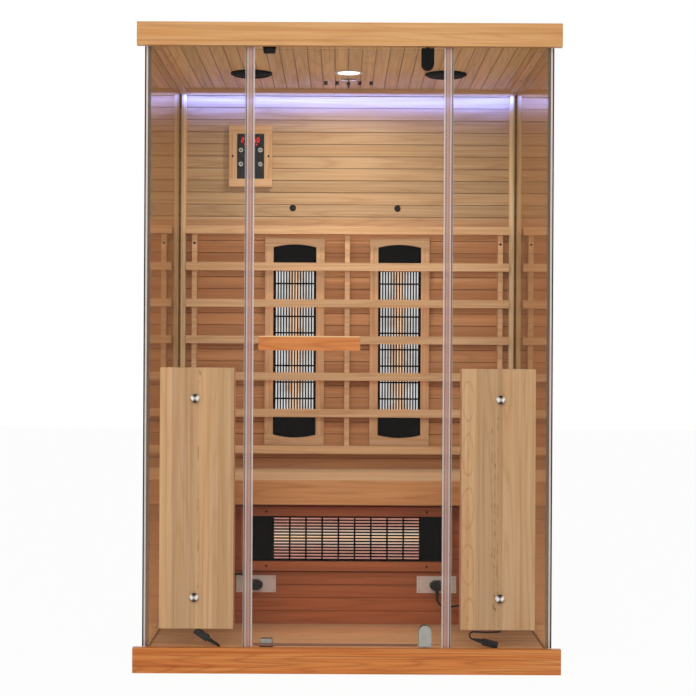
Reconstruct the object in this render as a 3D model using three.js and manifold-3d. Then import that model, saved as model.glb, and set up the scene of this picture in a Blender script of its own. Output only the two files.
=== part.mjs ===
// A two-person infrared sauna cabin: glass front and sides, a boarded back wall with a bench,
// ceramic heaters behind wire guards, a pivoting glass door and a push-button control panel.
// Millimetres. X runs to the right of someone facing the door, Y into the cabin, Z up.
// The origin lies under the middle of the cabin, on the surface that it stands on.

import * as THREE from 'three';
import { mergeVertices } from 'three/addons/utils/BufferGeometryUtils.js';
import Module from 'manifold-3d';

const wasm = await Module();
wasm.setup();

// Overall
const WIDTH = 1250;
const DEPTH = 1050;
const HEIGHT = 1900;
const FIT = 0.3; // gap between a cut or turned piece and its seat
const OVER = 1; // run of a joined or cutting shape past the face that it meets

// Base, floor, roof and ceiling
const BASE_HEIGHT = 74;
const BASE_FRONT_BEAM = 25;
const BASE_BACK_BEAM = 35;
const FASCIA_END = 35; // front beams beyond the side glass
const FLOOR_DROP = 10; // floor boards below the top of the base beams
const FLOOR_BOARD = 20;
const FLOOR_LEDGE = 40; // width of the beams that carry the floor boards
const FLOOR_PITCH = 95;
const ROOF_HEIGHT = 68;
const ROOF_INSET = 4; // roof beam ends inside the base ends
const ROOF_SIDE_BEAM = 35;
const CEILING_RISE = 18; // ceiling boards above the lower edge of the roof beams
const CEILING_BOARD = 12;
const COVER_BOARD = 12;
const COVER_LEDGE = 15;
const BOARD_PITCH = 42;
const GROOVE_WIDTH = 3;
const GROOVE_DEPTH = 2;

// Back wall
const WALL_REAR_INSET = 11; // wall cover in front of the back of the base
const WALL_COVER = 52;
const WALL_SKIN = 10; // outer sheet of the wall cover
const WALL_BATTEN = 40;
const WALL_BOARD = 12;
const STUD_OFFSET = 400; // side studs from the middle
const COVE_HEIGHT = 19;
const COVE_DEPTH = 25;

// Glass and door
const GLASS = 8;
const GLASS_GAP = 3; // behind the front beam
const FIXED_PANE_WIDTH = 281.7;
const DOOR_LIFT = 9; // above the top of the base beam
const DOOR_TOP_GAP = 6; // below the roof beam
const DOOR_RUNNING_GAP = 1.5;
const SEAL_WIDTH = 28;
const SEAL_THICK = 14;
const SEAL_GRIP = 6; // length of fixed glass held in the seal
const PIVOT_INSET = 47.5; // pivot from the edge of the door
const PIVOT_WIDTH = 37;
const PIVOT_THICK = 30;
const PIVOT_HEIGHT = 63;
const PIVOT_GAP = 3; // between a pivot fitting and the beam or floor beside it
const PIN_RADIUS = 4.5;
const PIN_CLEARANCE = 0.6;
const PIN_DEPTH = 8; // length of pin in the floor and in the ceiling
const HANDLE_LENGTH = 296;
const HANDLE_HEIGHT = 42;
const HANDLE_THICK = 20;
const HANDLE_STANDOFF = 28;
const HANDLE_INSET = 15.5; // end of the bar from the edge of the door
const HANDLE_Z = 964;
const HANDLE_BOSS_RADIUS = 10;
const HANDLE_BOSS_INSET = 45; // boss from the end of the bar
const HANDLE_CHAMFER = 4;
const STUD_RADIUS = 4;
const STUD_GRIP = 12; // length of stud in the inner handle

// Bench
const SEAT_TOP = 533;
const SEAT_BOARD = 24;
const SEAT_PITCH = 92;
const BENCH_FRONT = 402; // from the front of the base
const APRON_BOARD = 20;
const APRON_HEIGHT = 76;
const KICK_SETBACK = 116; // from the front of the bench
const KICK_BOARD = 20;
const BENCH_SIDE_GAP = 1;

// Backrest
const SLAT_COUNT = 7;
const SLAT_PITCH = 126.3;
const SLAT_LIFT = 67; // lowest slat's middle above the seat
const SLAT_HEIGHT = 27;
const SLAT_THICK = 20;
const SLAT_END_GAP = 25; // end of a slat from the side glass
const UPRIGHT_WIDTH = 17;
const UPRIGHT_DEPTH = 40;
const UPRIGHT_INSET = 28; // side upright's middle from the end of a slat
const JOINT_SINK = 2; // depth that a slat is let into its uprights

// Heaters
const GUARD_GAPS = 14; // gaps between the guard's bars
const GUARD_PITCH = 9.7;
const GUARD_GAP_WIDTH = 4.8;
const CASE_DEPTH = 45;
const CASE_WALL = 2;
const CASE_LAP = 8; // case edge behind the frame
const TUBE_RADIUS = 7;
const FRAME_THICK = 20;
const BACK_HEATER_X = 182;
const BACK_FRAME_STILE = 28.5;
const BACK_FRAME_RAIL = 35.5;
const BACK_OPENING_WIDTH = 149;
const BACK_OPENING_HEIGHT = 652;
const BACK_OPENING_ARCH = 10;
const BACK_GUARD_LENGTH = 485;
const CALF_HEATER_Z = 339;
const CALF_FRAME_RAIL = 29;
const CALF_OPENING_WIDTH = 146;
const CALF_OPENING_LENGTH = 626;
const CALF_GUARD_LENGTH = 466;
const FRONT_BOX_GAP = 30.5; // front heater box from the side glass
const FRONT_BOX_Z = 508;
const FRONT_BOX_WIDTH = 217;
const FRONT_BOX_HEIGHT = 766;
const FRONT_BOX_DEPTH = 72;
const GLAND_RADIUS = 8;
const GLAND_LENGTH = 12;
const GLAND_DROP = 313; // gland below the middle of a front heater

// Ceiling fittings
const SPEAKER_X = 318;
const SPEAKER_BACK = 612; // from the front of the base
const SPEAKER_RADIUS = 68;
const SPEAKER_BODY_RADIUS = 55;
const SPEAKER_RIM = 11;
const SPEAKER_DISH = 2; // grille above the lowest edge of its rim
const LIGHT_BACK = 587;
const LIGHT_RADIUS = 48;
const LIGHT_BODY_RADIUS = 40;
const LIGHT_RIM = 6;
const LIGHT_DISH = 2.5; // lens above the lowest edge of its rim
const FITTING_RISE = 22; // body of a ceiling fitting above the ceiling's underside
const VENT_BACK = 827;
const VENT_COUNT = 5;
const VENT_PITCH = 38.5;
const VENT_WIDTH = 13;
const VENT_LENGTH = 100;
const POWER_BOX_WIDTH = 300;
const POWER_BOX_DEPTH = 160;
const POWER_BOX_HEIGHT = 20;
const POWER_BOX_BACK = 280;

// Free wall between the seat, a back heater, the control panel and the cove, and its shares
const HEATER_LIFT_SHARE = 0.223; // below a back heater
const CONTROL_DROP_SHARE = 0.2992; // above the control panel

// Control panel on the back wall
const CONTROL_X = -338;
const CONTROL_FRAME_WIDTH = 150;
const CONTROL_FRAME_HEIGHT = 214;
const CONTROL_FRAME_THICK = 18;
const CONTROL_WIDTH = 94;
const CONTROL_HEIGHT = 156;
const CONTROL_THICK = 12;
const BUTTON_RADIUS = 7;
const BUTTON_LENGTH = 9;
const BUTTON_PROUD = 2;
const BUTTON_TRAVEL = 1;
const BUTTON_CLEARANCE = 0.5;
const BUTTON_COLUMN = 34;
const BUTTON_UPPER_ROW = 22; // above the middle of the panel
const BUTTON_LOWER_ROW = -27;

// Sockets, plugs and leads
const SOCKET_X = 290;
const SOCKET_Z = 192;
const SOCKET_WIDTH = 127;
const SOCKET_HEIGHT = 54;
const SOCKET_THICK = 3;
const PLUG_SIDE = 1; // plug from the middle of its socket plate, outwards
const PLUG_BODY = 22;
const PLUG_POINT = 12;
const PLUG_HEIGHT = 29;
const PLUG_DEPTH = 40;
const PLUG_TIP = 10; // height of the pointed end
const CORD_EXIT = 24; // cord in front of the socket plate
const RELIEF_LENGTH = 24;
const RELIEF_ROOT_RADIUS = 6.5;
const RELIEF_SIDE = 5; // root of the left relief, outwards from the plug's middle
const RELIEF_RISE = 4;
const RELIEF_SINK = 2; // root of the right relief inside the plug
const CORD_RADIUS = 3.5;
const LEAD_RADIUS = 2.5;
const CONNECTOR_LENGTH = 46;
const CONNECTOR_WIDTH = 24;
const CONNECTOR_HEIGHT = 18;
const CONNECTOR_NECK = 26;
const CONNECTOR_NECK_RADIUS = 7;

// Round pieces
const FINE_SIDES = 32;
const COARSE_SIDES = 16;
const CORD_SIDES = 10;
const LEAD_SIDES = 8;
const CURVE_STEPS = 10;
const CORD_STEP = 15; // length of one straight run of a cord
const LEAD_STEP = 6;

// Places worked out from the sizes above
const glassFront = BASE_FRONT_BEAM + GLASS_GAP;
const handleProud = Math.max(HANDLE_THICK + HANDLE_STANDOFF - glassFront, 0);
const front = (handleProud - DEPTH) / 2; // front face of the base
const back = front + DEPTH;
const floorTop = BASE_HEIGHT - FLOOR_DROP;
const roofBottom = HEIGHT - ROOF_HEIGHT;
const ceilingBottom = roofBottom + CEILING_RISE;
const ceilingTop = ceilingBottom + CEILING_BOARD;
const coverBottom = HEIGHT - COVER_BOARD;
const glassOuterX = WIDTH / 2 - FASCIA_END;
const glassInnerX = glassOuterX - GLASS;
const frontGlassY = front + glassFront;
const frontGlassMidY = frontGlassY + GLASS / 2;
const frontGlassBackY = frontGlassY + GLASS;
const wallCoverY = back - WALL_REAR_INSET - WALL_COVER;
const wallY = wallCoverY - WALL_BOARD; // boarded face of the back wall
const benchY = front + BENCH_FRONT;
const kickY = benchY + KICK_SETBACK;
const benchHalf = glassInnerX - BENCH_SIDE_GAP;
const seatBottom = SEAT_TOP - SEAT_BOARD;
const fixedGlassX = glassInnerX - FIT - FIXED_PANE_WIDTH;
const sealInnerX = fixedGlassX + SEAL_GRIP - SEAL_WIDTH;
const doorHalf = sealInnerX - DOOR_RUNNING_GAP;
const pivotX = doorHalf - PIVOT_INSET;
const handleX = HANDLE_INSET + HANDLE_LENGTH / 2 - doorHalf;
const doorBottom = BASE_HEIGHT + DOOR_LIFT;
const doorTop = roofBottom - DOOR_TOP_GAP;
const backFrameWidth = BACK_OPENING_WIDTH + 2 * BACK_FRAME_STILE;
const backFrameHeight = BACK_OPENING_HEIGHT + 2 * BACK_FRAME_RAIL;
const coveBottom = ceilingBottom - COVE_HEIGHT;
const freeWall = coveBottom - SEAT_TOP - backFrameHeight - CONTROL_FRAME_HEIGHT;
const backHeaterZ = SEAT_TOP + freeWall * HEATER_LIFT_SHARE + backFrameHeight / 2;
const controlZ = coveBottom - freeWall * CONTROL_DROP_SHARE - CONTROL_FRAME_HEIGHT / 2;
const frontBoxX = glassInnerX - FRONT_BOX_GAP - FRONT_BOX_WIDTH / 2;
const slatHalf = glassInnerX - SLAT_END_GAP;
const frontBoxBackY = frontGlassBackY + FIT + FRONT_BOX_DEPTH;
const frontBoxBottom = FRONT_BOX_Z - FRONT_BOX_HEIGHT / 2;
const plugY = kickY - SOCKET_THICK - CORD_EXIT;

// Finishes
const finish = (color, roughness, metalness = 0) => ({ color, roughness, metalness });
const BEAM_WOOD = finish(0xc98a4b, 0.5);
const PANEL_WOOD = finish(0xd8ae82, 0.55);
const PALE_WOOD = finish(0xd9bd92, 0.55);
const HANDLE_WOOD = finish(0xcf8347, 0.45);
const BLACK_METAL = finish(0x141414, 0.5, 0.6);
const GREY_METAL = finish(0x77746c, 0.35, 0.9);
const BLACK_PLASTIC = finish(0x161616, 0.45);
const WHITE_PLASTIC = finish(0xd8c8c0, 0.4);
const CERAMIC = finish(0xe8d8c4, 0.6);
const CLEAR_GLASS = finish(0xdfe8e6, 0.05);
const SEAL_PLASTIC = finish(0xd6c4bf, 0.35);
const LAMP_WHITE = finish(0xf4f4f0, 0.3);

const cabin = new THREE.Group();

// A closed geometry as a solid that can be joined and cut.
function solid(geometry) {
  const bare = geometry.index ? geometry.toNonIndexed() : geometry.clone();
  bare.deleteAttribute('normal');
  bare.deleteAttribute('uv');
  const merged = mergeVertices(bare);
  return new wasm.Manifold(new wasm.Mesh({
    numProp: 3,
    vertProperties: new Float32Array(merged.attributes.position.array),
    triVerts: new Uint32Array(merged.index.array),
  }));
}

// A solid as a geometry.
function surface(body) {
  const { vertProperties, triVerts } = body.getMesh();
  const geometry = new THREE.BufferGeometry();
  geometry.setAttribute('position', new THREE.BufferAttribute(new Float32Array(vertProperties), 3));
  geometry.setIndex(new THREE.BufferAttribute(new Uint32Array(triVerts), 1));
  geometry.computeVertexNormals();
  return geometry;
}

function join(...parts) {
  return parts.map(solid).reduce((whole, part) => whole.add(part));
}

function cut(body, ...tools) {
  return tools.map(solid).reduce((rest, tool) => rest.subtract(tool), body);
}

// Adds one named piece to its group.
function piece(name, geometry, material, group = cabin) {
  const mesh = new THREE.Mesh(geometry, new THREE.MeshStandardMaterial(material));
  mesh.name = name;
  group.add(mesh);
  return mesh;
}

// A block between two opposite corners.
function block(low, high) {
  const size = high.map((value, axis) => value - low[axis]);
  const middle = high.map((value, axis) => (value + low[axis]) / 2);
  return new THREE.BoxGeometry(...size).translate(...middle);
}

// An upright round bar from z0 to z1.
function post(x, y, z0, z1, radius, sides) {
  return new THREE.CylinderGeometry(radius, radius, z1 - z0, sides)
    .rotateX(Math.PI / 2)
    .translate(x, y, (z0 + z1) / 2);
}

// A round bar along Y from y0 to y1.
function rod(x, z, y0, y1, radius, sides) {
  return new THREE.CylinderGeometry(radius, radius, y1 - y0, sides).translate(x, (y0 + y1) / 2, z);
}

// A prism on an outline in the XZ plane, from y0 back to y1.
function prism(shape, y0, y1) {
  const options = { depth: y1 - y0, bevelEnabled: false, curveSegments: CURVE_STEPS };
  return new THREE.ExtrudeGeometry(shape, options)
    .rotateX(Math.PI / 2)
    .translate(0, y1, 0);
}

// A panel of tongue-and-groove boards with its grooved face at the corner point. The boards lie
// side by side along `across`, and the panel's thickness runs along `inward`.
function boards({ corner, across, inward, width, thickness, length, pitch }) {
  const shape = new THREE.Shape();
  shape.moveTo(0, 0);
  for (let edge = pitch; edge < width - GROOVE_WIDTH; edge += pitch) {
    shape.lineTo(edge - GROOVE_WIDTH / 2, 0);
    shape.lineTo(edge, GROOVE_DEPTH);
    shape.lineTo(edge + GROOVE_WIDTH / 2, 0);
  }
  shape.lineTo(width, 0);
  shape.lineTo(width, thickness);
  shape.lineTo(0, thickness);
  const along = new THREE.Vector3().crossVectors(across, inward);
  const place = new THREE.Matrix4().makeBasis(across, inward, along);
  return new THREE.ExtrudeGeometry(shape, { depth: length, bevelEnabled: false })
    .applyMatrix4(place)
    .translate(...corner);
}

const RIGHTWARD = new THREE.Vector3(1, 0, 0);
const INTO = new THREE.Vector3(0, 1, 0);
const OUT = new THREE.Vector3(0, -1, 0);
const UP = new THREE.Vector3(0, 0, 1);
const DOWN = new THREE.Vector3(0, 0, -1);
const SIDES = [['left', -1], ['right', 1]];

// A block that reaches from `inner` to `outer` on one side of the middle.
function sideBlock(side, inner, outer, y0, y1, z0, z1) {
  const xs = [side * inner, side * outer].sort((a, b) => a - b);
  return block([xs[0], y0, z0], [xs[1], y1, z1]);
}

function buildBase() {
  const half = WIDTH / 2;
  const innerFront = front + BASE_FRONT_BEAM;
  const innerBack = back - BASE_BACK_BEAM;
  const shelf = floorTop - FLOOR_BOARD;
  const frame = cut(
    join(
      block([-half, front, 0], [half, innerFront, BASE_HEIGHT]),
      block([-glassOuterX, front, 0], [glassOuterX, back, shelf]),
      block([-glassOuterX, innerBack, 0], [glassOuterX, back, BASE_HEIGHT]),
    ),
    block(
      [FLOOR_LEDGE - glassOuterX, innerFront + FLOOR_LEDGE, -OVER],
      [glassOuterX - FLOOR_LEDGE, innerBack - FLOOR_LEDGE, BASE_HEIGHT],
    ),
  );
  piece('base_frame', surface(frame), BEAM_WOOD);

  const floor = cut(
    join(boards({
      corner: [glassOuterX, innerFront + FIT, floorTop],
      across: INTO,
      inward: DOWN,
      width: innerBack - innerFront - 2 * FIT,
      thickness: FLOOR_BOARD,
      length: 2 * glassOuterX,
      pitch: FLOOR_PITCH,
    })),
    post(pivotX, frontGlassMidY, floorTop - PIN_DEPTH - FIT, floorTop + OVER,
      PIN_RADIUS + PIN_CLEARANCE, COARSE_SIDES),
  );
  piece('floor_panel', surface(floor), PANEL_WOOD);
}

function ventSlots(z0, z1) {
  const slots = [];
  for (let index = 0; index < VENT_COUNT; index += 1) {
    const x = (index - (VENT_COUNT - 1) / 2) * VENT_PITCH;
    const y = front + VENT_BACK;
    slots.push(block(
      [x - VENT_WIDTH / 2, y - VENT_LENGTH / 2, z0],
      [x + VENT_WIDTH / 2, y + VENT_LENGTH / 2, z1],
    ));
  }
  return slots;
}

function buildRoof() {
  const half = WIDTH / 2 - ROOF_INSET;
  const innerFront = front + BASE_FRONT_BEAM;
  const sideBeam = (side) => sideBlock(side, glassOuterX - ROOF_SIDE_BEAM, glassOuterX,
    innerFront - OVER, wallCoverY + OVER, ceilingTop, coverBottom);
  const frame = cut(
    join(
      block([-half, front, roofBottom], [half, innerFront, HEIGHT]),
      block([-glassOuterX, wallCoverY, roofBottom], [glassOuterX, back, HEIGHT]),
      sideBeam(-1),
      sideBeam(1),
    ),
    block(
      [-glassOuterX - OVER, innerFront - COVER_LEDGE, coverBottom],
      [glassOuterX + OVER, wallCoverY + COVER_LEDGE, HEIGHT + OVER],
    ),
  );
  piece('roof_frame', surface(frame), BEAM_WOOD);

  const cover = cut(
    join(block(
      [-glassOuterX, innerFront - COVER_LEDGE + FIT, coverBottom],
      [glassOuterX, wallCoverY + COVER_LEDGE - FIT, HEIGHT],
    )),
    ...ventSlots(coverBottom - OVER, HEIGHT + OVER),
  );
  piece('roof_cover', surface(cover), PANEL_WOOD);

  const bore = (x, y, radius) => post(x, front + y, ceilingBottom - OVER, ceilingTop + OVER,
    radius, FINE_SIDES);
  const ceiling = cut(
    join(boards({
      corner: [-glassOuterX, wallCoverY - FIT, ceilingBottom],
      across: RIGHTWARD,
      inward: UP,
      width: 2 * glassOuterX,
      thickness: CEILING_BOARD,
      length: wallCoverY - innerFront - 2 * FIT,
      pitch: BOARD_PITCH,
    })),
    bore(-SPEAKER_X, SPEAKER_BACK, SPEAKER_BODY_RADIUS + FIT * 2),
    bore(SPEAKER_X, SPEAKER_BACK, SPEAKER_BODY_RADIUS + FIT * 2),
    bore(0, LIGHT_BACK, LIGHT_BODY_RADIUS + FIT * 2),
    post(pivotX, frontGlassMidY, ceilingBottom - OVER, ceilingBottom + PIN_DEPTH + FIT,
      PIN_RADIUS + PIN_CLEARANCE, COARSE_SIDES),
    ...ventSlots(ceilingBottom - OVER, ceilingTop + OVER),
  );
  piece('ceiling_panel', surface(ceiling), PANEL_WOOD);

  const boxY = front + POWER_BOX_BACK;
  piece('power_box', block(
    [-POWER_BOX_WIDTH / 2, boxY - POWER_BOX_DEPTH / 2, ceilingTop],
    [POWER_BOX_WIDTH / 2, boxY + POWER_BOX_DEPTH / 2, ceilingTop + POWER_BOX_HEIGHT],
  ), GREY_METAL);
}

// A round fitting let into the ceiling: a rim below the boards and a body through them.
function ceilingFitting(name, x, y, rimRadius, rim, bodyRadius, hollow, material) {
  const profile = [
    [0, hollow],
    [rimRadius - rim * 2, hollow],
    [rimRadius - rim, 0],
    [rimRadius, rim / 2],
    [rimRadius, rim - FIT],
    [bodyRadius, rim - FIT],
    [bodyRadius, rim + FITTING_RISE],
    [0, rim + FITTING_RISE],
  ].map(([radius, height]) => new THREE.Vector2(radius, height));
  const fitting = new THREE.LatheGeometry(profile, FINE_SIDES).rotateX(Math.PI / 2);
  piece(name, fitting, material).position.set(x, front + y, ceilingBottom - rim);
}

function buildCeilingFittings() {
  for (const [name, side] of SIDES) {
    ceilingFitting(`speaker_${name}`, side * SPEAKER_X, SPEAKER_BACK, SPEAKER_RADIUS, SPEAKER_RIM,
      SPEAKER_BODY_RADIUS, SPEAKER_DISH, BLACK_PLASTIC);
  }
  ceilingFitting('ceiling_light', 0, LIGHT_BACK, LIGHT_RADIUS, LIGHT_RIM, LIGHT_BODY_RADIUS,
    LIGHT_DISH, LAMP_WHITE);
}

// A window for a heater case through the back wall or the kick panel.
function caseWindow(x, z, width, height, y0, y1) {
  const halfWidth = width / 2 + CASE_LAP + FIT;
  const halfHeight = height / 2 + CASE_LAP + FIT;
  return block([x - halfWidth, y0, z - halfHeight], [x + halfWidth, y1, z + halfHeight]);
}

const backOpeningLength = BACK_OPENING_HEIGHT + 2 * BACK_OPENING_ARCH;

function buildBackWall() {
  const windows = SIDES.map(([, side]) => caseWindow(
    side * BACK_HEATER_X, backHeaterZ, BACK_OPENING_WIDTH, backOpeningLength,
    wallY - OVER, wallCoverY + OVER,
  ));
  const inner = cut(
    join(boards({
      corner: [glassOuterX, wallY, floorTop],
      across: UP,
      inward: INTO,
      width: ceilingBottom - floorTop,
      thickness: WALL_BOARD,
      length: 2 * glassOuterX,
      pitch: BOARD_PITCH,
    })),
    ...windows,
  );
  piece('back_wall_boards', surface(inner), PANEL_WOOD);

  const skinY = wallCoverY + WALL_COVER - WALL_SKIN;
  const batten = (x0, x1, z0, z1) => block([x0, wallCoverY, z0], [x1, skinY + OVER, z1]);
  const stud = (x) => batten(x - WALL_BATTEN / 2, x + WALL_BATTEN / 2, BASE_HEIGHT, roofBottom);
  const cover = join(
    boards({
      corner: [-glassOuterX, wallCoverY + WALL_COVER, BASE_HEIGHT],
      across: UP,
      inward: OUT,
      width: roofBottom - BASE_HEIGHT,
      thickness: WALL_SKIN,
      length: 2 * glassOuterX,
      pitch: BOARD_PITCH,
    }),
    batten(-glassOuterX, glassOuterX, BASE_HEIGHT, BASE_HEIGHT + WALL_BATTEN),
    batten(-glassOuterX, glassOuterX, roofBottom - WALL_BATTEN, roofBottom),
    batten(-glassOuterX, WALL_BATTEN - glassOuterX, BASE_HEIGHT, roofBottom),
    batten(glassOuterX - WALL_BATTEN, glassOuterX, BASE_HEIGHT, roofBottom),
    stud(-STUD_OFFSET),
    stud(0),
    stud(STUD_OFFSET),
  );
  piece('back_wall_cover', surface(cover), PANEL_WOOD);

  piece('light_cove', block(
    [FIT - glassInnerX, wallY - COVE_DEPTH, coveBottom],
    [glassInnerX - FIT, wallY, ceilingBottom],
  ), PANEL_WOOD);
}

function buildGlass() {
  for (const [name, side] of SIDES) {
    piece(`side_glass_${name}`, sideBlock(side, glassInnerX, glassOuterX, frontGlassY, wallY,
      floorTop, ceilingBottom), CLEAR_GLASS);
    piece(`front_glass_${name}`, sideBlock(side, fixedGlassX, glassInnerX - FIT,
      frontGlassY, frontGlassBackY, floorTop, ceilingBottom), CLEAR_GLASS);
    const seal = cut(
      join(sideBlock(side, sealInnerX, sealInnerX + SEAL_WIDTH,
        frontGlassMidY - SEAL_THICK / 2 + GLASS_GAP, frontGlassMidY + SEAL_THICK / 2 + GLASS_GAP,
        floorTop, ceilingBottom)),
      sideBlock(side, fixedGlassX - FIT, sealInnerX + SEAL_WIDTH + OVER,
        frontGlassY - FIT, frontGlassBackY + FIT, floorTop - OVER, ceilingBottom + OVER),
    );
    piece(`door_seal_${name}`, surface(seal), SEAL_PLASTIC);
  }
}

function buildBench() {
  piece('bench_seat', boards({
    corner: [benchHalf, benchY + APRON_BOARD, SEAT_TOP],
    across: INTO,
    inward: DOWN,
    width: wallY - benchY - APRON_BOARD,
    thickness: SEAT_BOARD,
    length: 2 * benchHalf,
    pitch: SEAT_PITCH,
  }), PANEL_WOOD);
  piece('bench_apron', block(
    [-benchHalf, benchY, SEAT_TOP - APRON_HEIGHT],
    [benchHalf, benchY + APRON_BOARD, SEAT_TOP],
  ), PANEL_WOOD);
  const kick = cut(
    join(boards({
      corner: [benchHalf, kickY, floorTop],
      across: UP,
      inward: INTO,
      width: seatBottom - floorTop,
      thickness: KICK_BOARD,
      length: 2 * benchHalf,
      pitch: BOARD_PITCH,
    })),
    caseWindow(0, CALF_HEATER_Z, CALF_OPENING_LENGTH, CALF_OPENING_WIDTH,
      kickY - OVER, kickY + KICK_BOARD + OVER),
  );
  piece('kick_panel', surface(kick), PANEL_WOOD);
}

function buildBackrest() {
  const slatY = wallY - UPRIGHT_DEPTH - SLAT_THICK;
  const lowest = SEAT_TOP + SLAT_LIFT;
  const top = lowest + (SLAT_COUNT - 1) * SLAT_PITCH + SLAT_HEIGHT / 2;
  const side = slatHalf - UPRIGHT_INSET;
  const uprights = [-side, 0, side].map((x) => block(
    [x - UPRIGHT_WIDTH / 2, slatY + SLAT_THICK - JOINT_SINK, lowest - SLAT_HEIGHT / 2],
    [x + UPRIGHT_WIDTH / 2, wallY, top],
  ));
  const slats = [];
  for (let index = 0; index < SLAT_COUNT; index += 1) {
    const z = lowest + index * SLAT_PITCH;
    slats.push(block(
      [-slatHalf, slatY, z - SLAT_HEIGHT / 2],
      [slatHalf, slatY + SLAT_THICK, z + SLAT_HEIGHT / 2],
    ));
  }
  piece('backrest_rack', surface(join(...uprights, ...slats)), PANEL_WOOD);
}

// A heater's wooden frame round an opening whose ends may be arched, its back at y = 0.
function heaterFrame(width, height, openingWidth, openingHeight, arch) {
  const shape = new THREE.Shape();
  shape.moveTo(-width / 2, -height / 2);
  shape.lineTo(width / 2, -height / 2);
  shape.lineTo(width / 2, height / 2);
  shape.lineTo(-width / 2, height / 2);
  const side = openingWidth / 2;
  const end = openingHeight / 2;
  const hole = new THREE.Path();
  hole.moveTo(-side, -end);
  hole.lineTo(-side, end);
  hole.quadraticCurveTo(0, end + 2 * arch, side, end);
  hole.lineTo(side, -end);
  hole.quadraticCurveTo(0, -end - 2 * arch, -side, -end);
  shape.holes.push(hole);
  return prism(shape, -FRAME_THICK, 0);
}

// A sheet-metal case whose front, at y = 0, is slotted to leave the bars of the guard.
function heaterCase(width, height, guardLength) {
  const outer = [width / 2, height / 2];
  const inner = outer.map((reach) => reach - CASE_WALL);
  const slots = [];
  for (let index = 0; index < GUARD_GAPS; index += 1) {
    const x = (index - (GUARD_GAPS - 1) / 2) * GUARD_PITCH;
    slots.push(block(
      [x - GUARD_GAP_WIDTH / 2, -OVER, -guardLength / 2],
      [x + GUARD_GAP_WIDTH / 2, CASE_WALL + OVER, guardLength / 2],
    ));
  }
  return cut(
    join(block([-outer[0], 0, -outer[1]], [outer[0], CASE_DEPTH, outer[1]])),
    block([-inner[0], CASE_WALL, -inner[1]], [inner[0], CASE_DEPTH - CASE_WALL, inner[1]]),
    ...slots,
  );
}

function heaterTube(height) {
  const reach = height / 2 - CASE_WALL - FIT;
  return post(0, CASE_DEPTH / 2, -reach, reach, TUBE_RADIUS, COARSE_SIDES);
}

function buildBackHeaters() {
  const caseWidth = BACK_OPENING_WIDTH + 2 * CASE_LAP;
  const caseHeight = backOpeningLength + 2 * CASE_LAP;
  for (const [name, side] of SIDES) {
    const heater = new THREE.Group();
    heater.position.set(side * BACK_HEATER_X, wallY, backHeaterZ);
    cabin.add(heater);
    piece(`back_heater_${name}_frame`, heaterFrame(backFrameWidth, backFrameHeight,
      BACK_OPENING_WIDTH, BACK_OPENING_HEIGHT, BACK_OPENING_ARCH), PANEL_WOOD, heater);
    const body = surface(heaterCase(caseWidth, caseHeight, BACK_GUARD_LENGTH));
    piece(`back_heater_${name}_case`, body, BLACK_METAL, heater).position.y = FIT;
    piece(`back_heater_${name}_tube`, heaterTube(caseHeight), CERAMIC, heater).position.y = FIT;
  }
}

function buildCalfHeater() {
  const caseWidth = CALF_OPENING_WIDTH + 2 * CASE_LAP;
  const caseLength = CALF_OPENING_LENGTH + 2 * CASE_LAP;
  const heater = new THREE.Group();
  heater.position.set(0, kickY, CALF_HEATER_Z);
  heater.rotation.y = Math.PI / 2;
  cabin.add(heater);
  const frameWidth = CALF_OPENING_WIDTH + 2 * CALF_FRAME_RAIL;
  const frameLength = CALF_OPENING_LENGTH + 2 * CALF_FRAME_RAIL;
  piece('calf_heater_frame', heaterFrame(frameWidth, frameLength,
    CALF_OPENING_WIDTH, CALF_OPENING_LENGTH, 0), PANEL_WOOD, heater).position.y = -FIT;
  const body = surface(heaterCase(caseWidth, caseLength, CALF_GUARD_LENGTH));
  piece('calf_heater_case', body, BLACK_METAL, heater).position.y = FIT;
  piece('calf_heater_tube', heaterTube(caseLength), CERAMIC, heater).position.y = FIT;
}

function buildFrontHeaters() {
  const caseWidth = BACK_OPENING_WIDTH + 2 * CASE_LAP;
  const caseHeight = backOpeningLength + 2 * CASE_LAP;
  for (const [name, side] of SIDES) {
    const x = side * frontBoxX;
    const halfBox = FRONT_BOX_WIDTH / 2;
    const box = cut(
      join(block(
        [x - halfBox, frontGlassBackY + FIT, frontBoxBottom],
        [x + halfBox, frontBoxBackY, frontBoxBottom + FRONT_BOX_HEIGHT],
      )),
      block(
        [x - caseWidth / 2 - FIT, frontBoxBackY - CASE_DEPTH - FIT, FRONT_BOX_Z - caseHeight / 2 - FIT],
        [x + caseWidth / 2 + FIT, frontBoxBackY + OVER, FRONT_BOX_Z + caseHeight / 2 + FIT],
      ),
    );
    piece(`front_heater_${name}_box`, surface(box), PALE_WOOD);

    // The case faces the bench, with the gland of its cord near the lower end.
    const heater = new THREE.Group();
    heater.position.set(x, frontBoxBackY, FRONT_BOX_Z);
    heater.rotation.z = Math.PI;
    cabin.add(heater);
    const gland = solid(rod(0, -GLAND_DROP, -GLAND_LENGTH, CASE_WALL / 2, GLAND_RADIUS, COARSE_SIDES));
    const body = heaterCase(caseWidth, caseHeight, BACK_GUARD_LENGTH).add(gland);
    piece(`front_heater_${name}_case`, surface(body), BLACK_METAL, heater);
    piece(`front_heater_${name}_tube`, heaterTube(caseHeight), CERAMIC, heater);
  }
}

const BUTTONS = [
  ['button_power', -1, BUTTON_UPPER_ROW],
  ['button_light', 0, BUTTON_UPPER_ROW],
  ['button_warmer', 1, BUTTON_UPPER_ROW],
  ['button_shorter', -1, BUTTON_LOWER_ROW],
  ['button_longer', 0, BUTTON_LOWER_ROW],
  ['button_cooler', 1, BUTTON_LOWER_ROW],
];

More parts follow.
